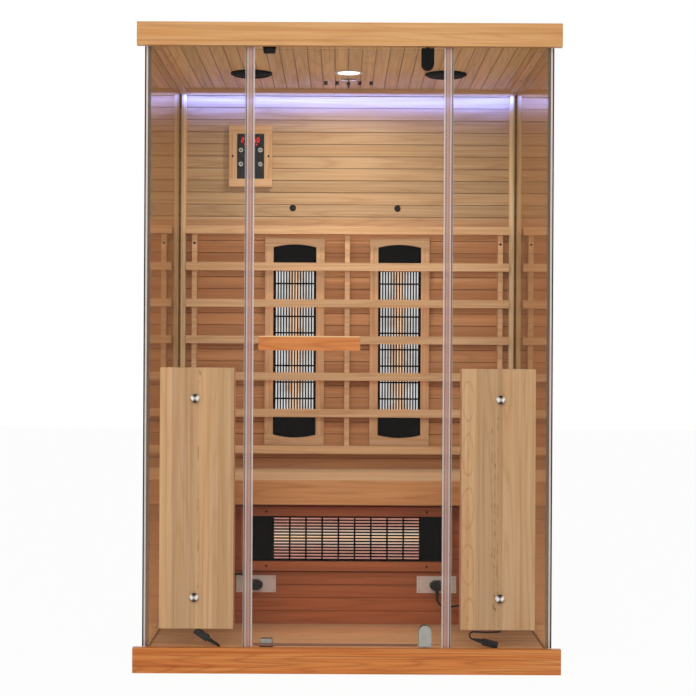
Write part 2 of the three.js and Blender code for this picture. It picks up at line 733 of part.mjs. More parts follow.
function buildControls() {
  const halfWidth = CONTROL_WIDTH / 2;
  const halfHeight = CONTROL_HEIGHT / 2;
  const frameWidth = CONTROL_FRAME_WIDTH / 2;
  const frameHeight = CONTROL_FRAME_HEIGHT / 2;
  const frame = cut(
    join(block(
      [CONTROL_X - frameWidth, wallY - CONTROL_FRAME_THICK, controlZ - frameHeight],
      [CONTROL_X + frameWidth, wallY, controlZ + frameHeight],
    )),
    block(
      [CONTROL_X - halfWidth - FIT, wallY - CONTROL_FRAME_THICK - OVER, controlZ - halfHeight - FIT],
      [CONTROL_X + halfWidth + FIT, wallY + OVER, controlZ + halfHeight + FIT],
    ),
  );
  piece('control_frame', surface(frame), PANEL_WOOD);

  const faceY = wallY - CONTROL_THICK;
  const buttonFront = faceY - BUTTON_PROUD;
  const pocketEnd = buttonFront + BUTTON_LENGTH + BUTTON_TRAVEL + BUTTON_CLEARANCE;
  const pockets = BUTTONS.map(([, column, row]) => rod(CONTROL_X + column * BUTTON_COLUMN,
    controlZ + row, faceY - OVER, pocketEnd, BUTTON_RADIUS + BUTTON_CLEARANCE, COARSE_SIDES));
  const panel = cut(
    join(block(
      [CONTROL_X - halfWidth, faceY, controlZ - halfHeight],
      [CONTROL_X + halfWidth, wallY, controlZ + halfHeight],
    )),
    ...pockets,
  );
  piece('control_panel', surface(panel), BLACK_PLASTIC);
  for (const [name, column, row] of BUTTONS) {
    piece(name, rod(CONTROL_X + column * BUTTON_COLUMN, controlZ + row, buttonFront,
      buttonFront + BUTTON_LENGTH, BUTTON_RADIUS, COARSE_SIDES), WHITE_PLASTIC);
  }
}

// A patch fitting that grips the door's edge and turns on a pin, drawn for the bottom of the door.
// `flip` is 1 at the bottom and -1 at the top, where the pin points up.
function pivotFitting(doorEdge, seatZ, bearingZ, flip) {
  const half = PIVOT_WIDTH / 2;
  const shape = new THREE.Shape();
  shape.moveTo(-half, 0);
  shape.lineTo(half, 0);
  shape.lineTo(half, PIVOT_HEIGHT - half);
  shape.absarc(0, PIVOT_HEIGHT - half, half, 0, Math.PI, false);
  const plate = prism(shape, frontGlassMidY - PIVOT_THICK / 2, frontGlassMidY + PIVOT_THICK / 2);
  if (flip < 0) {
    plate.rotateY(Math.PI);
  }
  plate.translate(pivotX, 0, seatZ);
  const slotEnds = [doorEdge - flip * FIT, seatZ + flip * (PIVOT_HEIGHT + OVER)].sort((a, b) => a - b);
  const slot = block(
    [pivotX - half - OVER, frontGlassY - FIT, slotEnds[0]],
    [pivotX + half + OVER, frontGlassBackY + FIT, slotEnds[1]],
  );
  const pinEnds = [bearingZ - flip * PIN_DEPTH, seatZ + flip * OVER].sort((a, b) => a - b);
  const pin = post(pivotX, frontGlassMidY, pinEnds[0], pinEnds[1], PIN_RADIUS, COARSE_SIDES);
  return cut(join(plate), slot).add(solid(pin));
}

function handleBar(y0, y1) {
  const half = HANDLE_HEIGHT / 2;
  const reach = HANDLE_LENGTH / 2;
  const edge = HANDLE_CHAMFER;
  const shape = new THREE.Shape();
  shape.moveTo(edge - reach, -half);
  shape.lineTo(reach - edge, -half);
  shape.lineTo(reach, edge - half);
  shape.lineTo(reach, half - edge);
  shape.lineTo(reach - edge, half);
  shape.lineTo(edge - reach, half);
  shape.lineTo(-reach, half - edge);
  shape.lineTo(-reach, edge - half);
  return prism(shape, y0, y1).translate(handleX, 0, HANDLE_Z);
}

function buildDoor() {
  const bossXs = [-1, 1].map((end) => handleX + end * (HANDLE_LENGTH / 2 - HANDLE_BOSS_INSET));
  const holes = bossXs.map((x) => rod(x, HANDLE_Z, frontGlassY - OVER, frontGlassBackY + OVER,
    STUD_RADIUS + 2 * FIT, COARSE_SIDES));
  const glass = cut(
    join(block([-doorHalf, frontGlassY, doorBottom], [doorHalf, frontGlassBackY, doorTop])),
    ...holes,
  );
  piece('door_glass', surface(glass), CLEAR_GLASS);

  const outerBack = frontGlassY - HANDLE_STANDOFF;
  const outer = join(
    handleBar(outerBack - HANDLE_THICK, outerBack),
    ...bossXs.map((x) => rod(x, HANDLE_Z, outerBack - OVER, frontGlassY, HANDLE_BOSS_RADIUS, COARSE_SIDES)),
    ...bossXs.map((x) => rod(x, HANDLE_Z, frontGlassY - OVER, frontGlassBackY + STUD_GRIP, STUD_RADIUS,
      COARSE_SIDES)),
  );
  piece('door_handle_outer', surface(outer), HANDLE_WOOD);

  const innerFront = frontGlassBackY + HANDLE_STANDOFF;
  const inner = cut(
    join(
      handleBar(innerFront, innerFront + HANDLE_THICK),
      ...bossXs.map((x) => rod(x, HANDLE_Z, frontGlassBackY, innerFront + OVER, HANDLE_BOSS_RADIUS,
        COARSE_SIDES)),
    ),
    ...bossXs.map((x) => rod(x, HANDLE_Z, frontGlassBackY - OVER, frontGlassBackY + STUD_GRIP + FIT,
      STUD_RADIUS + FIT, COARSE_SIDES)),
  );
  piece('door_handle_inner', surface(inner), HANDLE_WOOD);

  const bottom = pivotFitting(doorBottom, BASE_HEIGHT + PIVOT_GAP, floorTop, 1);
  piece('door_pivot_bottom', surface(bottom), GREY_METAL);
  const top = pivotFitting(doorTop, roofBottom - PIVOT_GAP, ceilingBottom, -1);
  piece('door_pivot_top', surface(top), BLACK_METAL);
}

// A cord: a round tube along a smooth curve through the points of its route.
function cord(name, route, radius, sides, step) {
  const section = new THREE.Shape();
  for (let index = 0; index < sides; index += 1) {
    const angle = (2 * Math.PI * index) / sides;
    const corner = [radius * Math.cos(angle), radius * Math.sin(angle)];
    if (index === 0) {
      section.moveTo(...corner);
    } else {
      section.lineTo(...corner);
    }
  }
  const path = new THREE.CatmullRomCurve3(route.map((point) => new THREE.Vector3(...point)));
  const steps = Math.round(path.getLength() / step);
  const tube = new THREE.ExtrudeGeometry(section, { extrudePath: path, steps, bevelEnabled: false });
  piece(name, tube, BLACK_PLASTIC);
}

// A tapered strain relief from `root` along `heading`, ending at the cord's own radius.
function relief(root, heading, rootRadius, tipRadius, length) {
  const turn = new THREE.Quaternion().setFromUnitVectors(INTO, heading);
  return new THREE.CylinderGeometry(tipRadius, rootRadius, length, COARSE_SIDES)
    .translate(0, length / 2, 0)
    .applyQuaternion(turn)
    .translate(...root.toArray());
}

// A plug whose pointed end looks towards the middle of the cabin, with its strain relief.
function plug(name, side, reliefRoot, reliefHeading) {
  const x = side * (SOCKET_X + PLUG_SIDE);
  const half = PLUG_HEIGHT / 2;
  const outline = [
    [PLUG_BODY / 2, -half],
    [PLUG_BODY / 2, half],
    [-PLUG_BODY / 2, half],
    [-PLUG_BODY / 2 - PLUG_POINT, PLUG_TIP / 2],
    [-PLUG_BODY / 2 - PLUG_POINT, -PLUG_TIP / 2],
    [-PLUG_BODY / 2, -half],
  ];
  const shape = new THREE.Shape(outline.map(([u, v]) => new THREE.Vector2(side * u, v)));
  const faceY = kickY - SOCKET_THICK;
  const body = prism(shape, faceY - PLUG_DEPTH, faceY).translate(x, 0, SOCKET_Z);
  const tail = relief(reliefRoot, reliefHeading, RELIEF_ROOT_RADIUS, CORD_RADIUS, RELIEF_LENGTH);
  piece(name, surface(join(body, tail)), BLACK_PLASTIC);
}

// An inline connector lying along `heading` from the end of its lead.
function connector(name, leadEnd, heading) {
  const axis = heading.clone().normalize();
  const turn = new THREE.Quaternion().setFromUnitVectors(RIGHTWARD, axis);
  const neckEnd = CONNECTOR_NECK + OVER;
  const neck = relief(new THREE.Vector3(neckEnd, 0, 0), new THREE.Vector3(-1, 0, 0),
    CONNECTOR_NECK_RADIUS, LEAD_RADIUS + OVER, neckEnd);
  const body = block(
    [CONNECTOR_NECK, -CONNECTOR_WIDTH / 2, -CONNECTOR_HEIGHT / 2],
    [CONNECTOR_NECK + CONNECTOR_LENGTH, CONNECTOR_WIDTH / 2, CONNECTOR_HEIGHT / 2],
  );
  const mesh = piece(name, surface(join(neck, body)), BLACK_PLASTIC);
  mesh.quaternion.copy(turn);
  mesh.position.set(...leadEnd).addScaledVector(axis, FIT);
}

// Routes of the cords, from the plug or the heater box outwards, as they hang in the cabin.
const LEFT_CORD_ROUTE = [
  [-313.5, -24, 213.5], [-317.5, -24.1, 217.4], [-323, -24.8, 221.2], [-330, -26.4, 224.3],
  [-338.5, -29.4, 226.6], [-348.5, -34, 228], [-358.5, -41, 228.3], [-368.5, -50.5, 227.4],
  [-378.5, -63, 225.2], [-388, -78.5, 222], [-397, -97, 218], [-405.5, -118.5, 213.6], [-413.5, -143, 209],
  [-421, -170.5, 204.6], [-427.5, -200.5, 200.8], [-433, -232.5, 197.8], [-437.5, -266.5, 195.8],
  [-441, -301.5, 195], [-442.7, -336.5, 195], [-443, -366, 195], [-443, -394.4, 195],
];
const RIGHT_CORD_ROUTE = [
  [291, -24, 155.2], [291.4, -24, 148.5], [293.2, -24.2, 142], [296.6, -25, 136.2],
  [301.6, -26.4, 131.6], [308, -28.8, 128.4], [315.5, -32.2, 126.8], [324, -37, 126.8],
  [333.5, -43.5, 128.2], [343.5, -52, 130.8], [354, -62.5, 134.2], [364.5, -75.5, 138.4],
  [375, -91, 143.2], [385.5, -110, 148.6], [396, -133, 154.6], [406, -160, 161],
  [415.2, -190, 168], [423.5, -222.5, 175.2], [430.5, -257.5, 182.2], [436.3, -294, 188.4],
  [440.5, -330.5, 192.8], [442.7, -365, 195], [443, -394.4, 195],
];
const LEFT_LEAD_ROUTE = [
  [-448, -425, 124.7], [-448, -425, 122.2], [-447.4, -425, 119], [-445.9, -425, 116.2],
  [-443.3, -425, 113.7], [-437, -425, 109.3], [-430, -425, 104.4], [-422, -425, 98.8],
  [-414, -425, 93.2], [-406, -425, 87.6], [-398, -425, 82.1], [-391, -425, 77.2],
  [-385, -425, 73], [-378.9, -428.1, 68.8], [-376.4, -435.5, 67], [-378.9, -442.9, 68.8],
  [-385, -446, 73], [-388, -446, 75.1],
];
const RIGHT_LEAD_ROUTE = [
  [457, -440, 124.7], [457, -440, 123.7], [456.2, -440, 119.7], [453.9, -440, 116.3],
  [450.5, -440, 114], [446.5, -440, 113.2], [438, -440, 112.8], [428, -440, 112.4],
  [416, -440, 112.2], [404, -440, 112.4], [392, -440, 112.8], [382, -440, 113.2],
  [374, -440, 113.2], [368, -440, 111.3], [364.1, -440, 106.3], [363.9, -440, 100],
  [367.3, -440, 94.7], [371.5, -440, 92.5], [375.4, -440, 91.5],
];
const LEFT_CONNECTOR_HEADING = new THREE.Vector3(-0.82, 0, 0.572);
const RIGHT_CONNECTOR_HEADING = new THREE.Vector3(0.97, 0, -0.243);

function buildLeads() {
  for (const [name, side] of SIDES) {
    piece(`socket_plate_${name}`, block(
      [side * SOCKET_X - SOCKET_WIDTH / 2, kickY - SOCKET_THICK, SOCKET_Z - SOCKET_HEIGHT / 2],
      [side * SOCKET_X + SOCKET_WIDTH / 2, kickY, SOCKET_Z + SOCKET_HEIGHT / 2],
    ), WHITE_PLASTIC);
  }
  const leftRoot = [-SOCKET_X - PLUG_SIDE - RELIEF_SIDE, plugY, SOCKET_Z + RELIEF_RISE];
  const rightRoot = [SOCKET_X + PLUG_SIDE, plugY, SOCKET_Z + RELIEF_SINK - PLUG_HEIGHT / 2];
  plug('plug_left', -1, new THREE.Vector3(...leftRoot), new THREE.Vector3(-1, 0, 1).normalize());
  plug('plug_right', 1, new THREE.Vector3(...rightRoot), DOWN);
  cord('plug_cord_left', LEFT_CORD_ROUTE, CORD_RADIUS, CORD_SIDES, CORD_STEP);
  cord('plug_cord_right', RIGHT_CORD_ROUTE, CORD_RADIUS, CORD_SIDES, CORD_STEP);
  cord('heater_lead_left', LEFT_LEAD_ROUTE, LEAD_RADIUS, LEAD_SIDES, LEAD_STEP);
  cord('heater_lead_right', RIGHT_LEAD_ROUTE, LEAD_RADIUS, LEAD_SIDES, LEAD_STEP);
  connector('lead_connector_left', LEFT_LEAD_ROUTE.at(-1), LEFT_CONNECTOR_HEADING);
  connector('lead_connector_right', RIGHT_LEAD_ROUTE.at(-1), RIGHT_CONNECTOR_HEADING);
}

buildBase();
buildRoof();
buildCeilingFittings();
buildBackWall();
buildGlass();
buildBench();
buildBackrest();
buildBackHeaters();
buildCalfHeater();
buildFrontHeaters();
buildControls();
buildDoor();
buildLeads();

export default cabin;
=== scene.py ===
# %% [markdown]
# # An infrared sauna cabin in Blender
# The cabin is a wooden box with a glass front and glass sides, a bench and five infrared heaters.
# The CAD already gives every solid its shape and place. This lesson dresses the solids: first the
# camera, the light and the cords, then the finishes, then the small fittings that the CAD leaves
# out. Everything is in metres, in the CAD's frame: X to the right of someone who faces the door,
# Y into the cabin, Z up.

# %% Load the frame
import math
import bpy
from mathutils import Matrix, Vector


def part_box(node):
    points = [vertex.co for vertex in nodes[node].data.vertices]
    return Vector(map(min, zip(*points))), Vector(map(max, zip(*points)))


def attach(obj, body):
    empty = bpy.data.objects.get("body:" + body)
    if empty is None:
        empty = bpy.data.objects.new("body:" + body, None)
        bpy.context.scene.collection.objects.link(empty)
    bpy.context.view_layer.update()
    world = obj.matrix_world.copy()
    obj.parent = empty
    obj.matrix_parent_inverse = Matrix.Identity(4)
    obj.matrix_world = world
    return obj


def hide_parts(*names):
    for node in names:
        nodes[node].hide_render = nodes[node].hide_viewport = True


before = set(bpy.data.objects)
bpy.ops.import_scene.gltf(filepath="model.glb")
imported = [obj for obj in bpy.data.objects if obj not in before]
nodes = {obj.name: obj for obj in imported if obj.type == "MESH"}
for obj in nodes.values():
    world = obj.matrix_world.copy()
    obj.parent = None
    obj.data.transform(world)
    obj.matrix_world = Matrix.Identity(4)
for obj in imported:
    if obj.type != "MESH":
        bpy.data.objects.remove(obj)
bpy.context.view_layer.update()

bpy.ops.object.select_all(action="DESELECT")
scene = bpy.context.scene
scene.view_settings.view_transform = "Standard"

# %% [markdown]
# ## Camera
# The photograph looks straight at the front from about five metres. A camera could be turned until
# the cabin fills the frame, but then its uprights would lean. The vanishing point of the side walls
# lies a little left of the middle of the picture, so the lens is shifted instead, which keeps the
# uprights parallel. A slight roll follows the tilt of the photograph.

# %% Camera
PHOTO_SIDE = 696  # pixels
SHIFT_PIXELS = (8, 1.3)
EYE = (-0.024, -5.515, 0.947)
ROLL = math.radians(-0.3)
camera_data = bpy.data.cameras.new("camera")
camera_data.lens = 88.75
camera_data.sensor_width = 36.0
camera_data.shift_x = SHIFT_PIXELS[0] / PHOTO_SIDE
camera_data.shift_y = SHIFT_PIXELS[1] / PHOTO_SIDE
camera_data.clip_end = 50
camera = bpy.data.objects.new("camera", camera_data)
camera.location = EYE
camera.rotation_euler = (math.radians(90), ROLL, 0)
scene.collection.objects.link(camera)
scene.camera = camera
print("camera at", EYE, "with a lens of", camera_data.lens, "mm")

# %% [markdown]
# ## World
# The picture has a plain white ground. A world that is bright enough to look white would wash out the
# wood, so this one has two faces: white for what the eye meets, straight or in a mirror or a pane,
# and a soft grey, paler towards the top, for the light that falls on the cabin.

# %% World
GROUND_LIGHT, SKY_LIGHT = 0.2, 0.49
SLOPE_START, SLOPE_END = -0.25, 0.6
DAYLIGHT = (1.0, 0.98, 0.96)


def seen_by_eye(tree):
    """One for what the camera sees, straight or in a mirror or a pane, and zero for other light."""
    ray = tree.nodes.new("ShaderNodeLightPath")
    seen = ray.outputs["Is Camera Ray"]
    for kind in ("Is Glossy Ray", "Is Transmission Ray"):
        either = tree.nodes.new("ShaderNodeMath")
        either.operation = "MAXIMUM"
        tree.links.new(seen, either.inputs[0])
        tree.links.new(ray.outputs[kind], either.inputs[1])
        seen = either.outputs[0]
    return seen


world = bpy.data.worlds.new("studio")
scene.world = world
world.use_nodes = True
world_tree = world.node_tree
world_tree.nodes.clear()


def world_node(kind, **values):
    """A node of the world with values on its sockets."""
    node = world_tree.nodes.new("ShaderNode" + kind)
    for socket, value in values.items():
        node.inputs[socket.replace("_", " ")].default_value = value
    return node


direction = world_node("TexCoord")
split = world_node("SeparateXYZ")
slope = world_node("MapRange", From_Min=SLOPE_START, From_Max=SLOPE_END, To_Min=GROUND_LIGHT,
                   To_Max=SKY_LIGHT)
soft = world_node("Background", Color=(*DAYLIGHT, 1))
white = world_node("Background", Color=(1, 1, 1, 1), Strength=1.0)
choose = world_node("MixShader")
world_out = world_node("OutputWorld")
for start, end in (
    (direction.outputs["Generated"], split.inputs[0]),
    (split.outputs["Z"], slope.inputs["Value"]),
    (slope.outputs[0], soft.inputs["Strength"]),
    (seen_by_eye(world_tree), choose.inputs["Fac"]),
    (soft.outputs[0], choose.inputs[1]),
    (white.outputs[0], choose.inputs[2]),
    (choose.outputs[0], world_out.inputs[0]),
):
    world_tree.links.new(start, end)
print("world light from", GROUND_LIGHT, "below to", SKY_LIGHT, "above")

# %% [markdown]
# ## Lamps
# A large lamp near the camera stands for the photographer's. Inside, the ceiling lamp, the strip in
# the cove and three of the heaters give their own light, and three weak lamps lift the ceiling and the
# walls, as light does that passes from wood to wood. Point lamps would do, but they throw hard shadows, so
# all of these are area lamps.

# %% Lamps
SIDES = (("left", -1), ("right", 1))
WARM, TIMBER, HEAT, VIOLET = (1.0, 0.95, 0.88), (1.0, 0.84, 0.64), (1.0, 0.5, 0.25), (0.12, 0.22, 1.0)
PALE_TIMBER = (1.0, 0.93, 0.82)


def middle(name):
    """The middle of a node's box."""
    low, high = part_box(name)
    return (low + high) / 2


def lamp(name, place, target, size, watts, colour, cone=180):
    """A rectangular lamp that looks at a point and shines within a cone."""
    data = bpy.data.lights.new(name, "AREA")
    data.shape = "RECTANGLE"
    data.size, data.size_y = size
    data.energy = watts
    data.color = colour
    data.spread = math.radians(cone)
    obj = bpy.data.objects.new(name, data)
    obj.location = place
    way = Vector(target) - Vector(place)
    obj.rotation_euler = way.to_track_quat("-Z", "Y").to_euler()
    obj.visible_camera = False
    obj.visible_glossy = False
    scene.collection.objects.link(obj)


bulb = middle("ceiling_light")
under_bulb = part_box("ceiling_light")[0].z - 0.004
heater_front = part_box("back_heater_left_frame")[0].y - 0.01
lamp("front_lamp", (-0.3, -4.6, 2.6), (0, 0, 0.95), (3.2, 2.4), 117, DAYLIGHT)
lamp("ceiling_lamp", (bulb.x, bulb.y, under_bulb), (bulb.x, bulb.y, 0), (0.07, 0.07), 3.5, WARM)
lamp("cove_lamp", (0, 0.418, 1.827), (0, 0.46, 1.803), (1.14, 0.012), 1.6, VIOLET, 100)
lamp("floor_lamp", (0, -0.25, 0.72), (0, -0.25, 2), (0.9, 0.3), 0.55, TIMBER, 120)
for _, sign in SIDES:
    lamp("wall_lamp", (sign * 0.42, -0.35, 1.15), (sign * 0.45, 0.46, 1.1), (0.2, 0.9), 0.2, PALE_TIMBER)
lamp("calf_lamp", (0, -0.03, 0.339), (0, -1, 0.30), (0.46, 0.13), 0.8, HEAT)
for side, _ in SIDES:
    spot = middle(f"back_heater_{side}_case")
    lamp(f"{side}_heater_lamp", (spot.x, heater_front, spot.z), (spot.x, -1, spot.z), (0.13, 0.48), 0.8,
         HEAT)

# %% [markdown]
# ## Cords
# Each front heater hangs on two cords: a mains lead that ends in a plug on the kick panel, and a thin
# lead with an inline connector that lies behind the base beam. A simulation could let them fall, but
# the photograph shows where they start and end, so the points between are given. They are the CAD's
# own route.

# %% Cord routes
LEFT_CORD = [
    (-0.443, -0.3944, 0.195), (-0.443, -0.366, 0.195), (-0.4427, -0.3365, 0.195), (-0.441, -0.3015, 0.195),
    (-0.4375, -0.2665, 0.1958), (-0.433, -0.2325, 0.1978), (-0.4275, -0.2005, 0.2008),
    (-0.421, -0.1705, 0.2046), (-0.4135, -0.143, 0.209), (-0.4055, -0.1185, 0.2136), (-0.397, -0.097, 0.218),
    (-0.388, -0.0785, 0.222), (-0.3785, -0.063, 0.2252), (-0.3685, -0.0505, 0.2274),
    (-0.3585, -0.041, 0.2283), (-0.3485, -0.034, 0.228), (-0.3385, -0.0294, 0.2266), (-0.33, -0.0264, 0.2243),
    (-0.323, -0.0248, 0.2212), (-0.3175, -0.0241, 0.2174), (-0.3135, -0.024, 0.2135),
]
RIGHT_CORD = [
    (0.443, -0.3944, 0.195), (0.4427, -0.365, 0.195), (0.4405, -0.3305, 0.1928), (0.4363, -0.294, 0.1884),
    (0.4305, -0.2575, 0.1822), (0.4235, -0.2225, 0.1752), (0.4152, -0.19, 0.168), (0.406, -0.16, 0.161),
    (0.396, -0.133, 0.1546), (0.3855, -0.11, 0.1486), (0.375, -0.091, 0.1432), (0.3645, -0.0755, 0.1384),
    (0.354, -0.0625, 0.1342), (0.3435, -0.052, 0.1308), (0.3335, -0.0435, 0.1282), (0.324, -0.037, 0.1268),
    (0.3155, -0.0322, 0.1268), (0.308, -0.0288, 0.1284), (0.3016, -0.0264, 0.1316), (0.2966, -0.025, 0.1362),
    (0.2932, -0.0242, 0.142), (0.2914, -0.024, 0.1485), (0.291, -0.024, 0.1552),
]
LEFT_LEAD = [
    (-0.448, -0.425, 0.1247), (-0.448, -0.425, 0.1222), (-0.4474, -0.425, 0.119), (-0.4459, -0.425, 0.1162),
    (-0.4433, -0.425, 0.1137), (-0.437, -0.425, 0.1093), (-0.43, -0.425, 0.1044), (-0.422, -0.425, 0.0988),
    (-0.414, -0.425, 0.0932), (-0.406, -0.425, 0.0876), (-0.398, -0.425, 0.0821), (-0.391, -0.425, 0.0772),
    (-0.385, -0.425, 0.073), (-0.3789, -0.4281, 0.0688), (-0.3764, -0.4355, 0.067),
    (-0.3789, -0.4429, 0.0688), (-0.385, -0.446, 0.073), (-0.388, -0.446, 0.0751),
]
RIGHT_LEAD = [
    (0.457, -0.44, 0.1247), (0.457, -0.44, 0.1237), (0.4562, -0.44, 0.1197), (0.4539, -0.44, 0.1163),
    (0.4505, -0.44, 0.114), (0.4465, -0.44, 0.1132), (0.438, -0.44, 0.1128), (0.428, -0.44, 0.1124),
    (0.416, -0.44, 0.1122), (0.404, -0.44, 0.1124), (0.392, -0.44, 0.1128), (0.382, -0.44, 0.1132),
    (0.374, -0.44, 0.1132), (0.368, -0.44, 0.1113), (0.3641, -0.44, 0.1063), (0.3639, -0.44, 0.1),
    (0.3673, -0.44, 0.0947), (0.3715, -0.44, 0.0925), (0.3754, -0.44, 0.0915),
]
print("route points:", [len(route) for route in (LEFT_CORD, RIGHT_CORD, LEFT_LEAD, RIGHT_LEAD)])

# %% [markdown]
# A cord bends without corners. A Bezier curve would need handles at every point, so a centripetal
# Catmull-Rom curve is worked out instead. It passes through all the points and makes no loops where
# they lie close together.

# %% Curve through the points
def smooth(route, parts=6):
    """Points on a centripetal Catmull-Rom curve through the route."""
    points = [Vector(p) for p in route]
    ends = [points[0] * 2 - points[1], *points, points[-1] * 2 - points[-2]]
    curve = []
    for a, b, c, d in zip(ends, ends[1:], ends[2:], ends[3:]):
        t1 = (b - a).length ** 0.5
        t2 = t1 + (c - b).length ** 0.5
        t3 = t2 + (d - c).length ** 0.5
        for step in range(parts):
            t = t1 + (t2 - t1) * step / parts
            p1 = a * ((t1 - t) / t1) + b * (t / t1)
            p2 = b * ((t2 - t) / (t2 - t1)) + c * ((t - t1) / (t2 - t1))
            p3 = c * ((t3 - t) / (t3 - t2)) + d * ((t - t2) / (t3 - t2))
            q1 = p1 * ((t2 - t) / t2) + p2 * (t / t2)
            q2 = p2 * ((t3 - t) / (t3 - t1)) + p3 * ((t - t1) / (t3 - t1))
            curve.append(q1 * ((t2 - t) / (t2 - t1)) + q2 * ((t - t1) / (t2 - t1)))
    return curve + [points[-1]]


print("left mains lead:", len(smooth(LEFT_CORD)), "points")

# %% [markdown]
# A cord could be a swept mesh, but a curve with a round bevel keeps its route easy to read.

# %% Lay the cords
def lay_cord(name, route, diameter):
    """A round cord along its route, which takes the place of the CAD's tube."""
    points = smooth(route)
    data = bpy.data.curves.new(name, "CURVE")
    data.dimensions = "3D"
    data.bevel_depth = 1.0
    data.bevel_resolution = 4
    data.use_fill_caps = True
    spline = data.splines.new("POLY")
    spline.points.add(len(points) - 1)
    for spot, point in zip(spline.points, points):
        spot.co = (*point, 1)
        spot.radius = diameter / 2
    spline.use_smooth = True
    obj = bpy.data.objects.new(f"{name}_laid", data)
    scene.collection.objects.link(obj)
    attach(obj, "cabin")
    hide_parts(name)
    return obj


MAINS, LEAD = 0.007, 0.005  # diameters
cords = [
    lay_cord("plug_cord_left", LEFT_CORD, MAINS),
    lay_cord("plug_cord_right", RIGHT_CORD, MAINS),
    lay_cord("heater_lead_left", LEFT_LEAD, LEAD),
    lay_cord("heater_lead_right", RIGHT_LEAD, LEAD),
]

# %% [markdown]
# ## Finishes
# A finish is a material made of nodes. They could be linked one by one, but a small builder keeps
# the trees readable. Every pattern reads Object coordinates, which are metres here, so a grain or a
# board has its real size.

# %% Node helpers
def rgb(code):
    """A screen colour such as d8ae82 as linear light."""
    values = [int(code[i:i + 2], 16) / 255 for i in (0, 2, 4)]
    return tuple(v / 12.92 if v <= 0.04045 else ((v + 0.055) / 1.055) ** 2.4 for v in values) + (1.0,)


class Finish:
    """One material and the nodes in it."""

    def __init__(self, name):
        self.material = bpy.data.materials.new(name)
        self.material.use_nodes = True
        self.tree = self.material.node_tree
        self.tree.nodes.clear()
        self.out = self.tree.nodes.new("ShaderNodeOutputMaterial")

    def add(self, kind, *values, **settings):
        node = self.tree.nodes.new("ShaderNode" + kind)
        for key, value in settings.items():
            setattr(node, key, value)
        for index, value in enumerate(values):
            self.put(node.inputs[index], value)
        return node

    def put(self, socket, value):
        if value is None:
            return
        if isinstance(value, bpy.types.NodeSocket):
            self.tree.links.new(value, socket)
        else:
            socket.default_value = value

    def math(self, operation, a, b=None, c=None):
        return self.add("Math", a, b, c, operation=operation).outputs[0]

    def mix(self, fac, a, b, blend="MIX"):
        node = self.tree.nodes.new("ShaderNodeMix")
        node.data_type = "RGBA"
        node.blend_type = blend
        self.put(node.inputs[0], fac)
        self.put(node.inputs[6], a)
        self.put(node.inputs[7], b)
        return node.outputs[2]

    def spread(self, value, low, high, to_low=0.0, to_high=1.0):
        return self.add("MapRange", value, low, high, to_low, to_high).outputs[0]

    def place(self):
        return self.add("TexCoord").outputs["Object"]

    def noise(self, vector, scale, detail=2.0, rough=0.5, distortion=0.0):
        node = self.add("TexNoise")
        self.put(node.inputs["Vector"], vector)
        self.put(node.inputs["Scale"], scale)
        self.put(node.inputs["Detail"], detail)
        self.put(node.inputs["Roughness"], rough)
        self.put(node.inputs["Distortion"], distortion)
        return node.outputs[0]

    def stretch(self, vector, scale):
        return self.add("VectorMath", vector, scale, operation="MULTIPLY").outputs[0]

    def bump(self, height, strength, distance):
        node = self.add("Bump")
        self.put(node.inputs["Strength"], strength)
        self.put(node.inputs["Distance"], distance)
        self.put(node.inputs["Height"], height)
        return node.outputs[0]

    def surface(self, shader):
        self.tree.links.new(shader, self.out.inputs["Surface"])
        return self.material

    def principled(self, **sockets):
        node = self.tree.nodes.new("ShaderNodeBsdfPrincipled")
        for key, value in sockets.items():
            self.put(node.inputs[key.replace("_", " ")], value)
        return node.outputs[0]


print("screen grey 808080 as linear light:", rgb("808080"))

# %% [markdown]
# ## Studio floor
# The cabin stands on a pale floor. A plain white paint would look grey beside the white ground, so
# the eye meets mostly an even white, with a little of the paint to keep a trace of the shadow.

# %% Studio floor
FLOOR_SIDE, FLOOR_DROP, WHITE_SHARE = 30, 0.001, 0.96


def studio_floor():
    """A pale paint that looks almost white to the eye."""
    f = Finish("studio floor")
    speckle = f.noise(f.place(), 40.0, 3.0)
    paint = f.principled(Base_Color=f.mix(speckle, rgb("e9e7e4"), rgb("e3e1de")), Roughness=0.8)
    shine = f.add("Emission", (1, 1, 1, 1), 1.0).outputs[0]
    share = f.math("MULTIPLY", seen_by_eye(f.tree), WHITE_SHARE)
    return f.surface(f.add("MixShader", share, paint, shine).outputs[0])


bpy.ops.object.select_all(action="DESELECT")
bpy.ops.mesh.primitive_plane_add(size=FLOOR_SIDE, location=(0, 0, -FLOOR_DROP))
floor = bpy.context.object
floor.name = "studio_floor"
floor.data.materials.append(studio_floor())
print("floor:", FLOOR_SIDE, "m square")

# %% [markdown]
# ## Wood
# Most of the cabin is planed softwood. A picture of wood would be quicker, but it can't
# follow boards of the real width, so all the wood shares one recipe of noises: fine fibres along the
# grain, growth rings as contour lines of a slow noise, and boards that differ in tone. The grain may
# turn inside a box, for frames whose rails and stiles run across each other.

# %% Grain and boards
AXES = {"X": (0, 1, 2), "Y": (1, 0, 2), "Z": (2, 0, 1)}


def inside_boxes(f, xyz, boxes):
    """One inside any of the boxes, zero elsewhere."""
    mask = None
    for low, high in boxes:
        inside = None
        for axis in range(3):
            past = f.math("GREATER_THAN", xyz[axis], low[axis])
            short = f.math("LESS_THAN", xyz[axis], high[axis])
            both = f.math("MULTIPLY", past, short)
            inside = both if inside is None else f.math("MULTIPLY", inside, both)
        mask = inside if mask is None else f.math("MAXIMUM", mask, inside)
    return mask


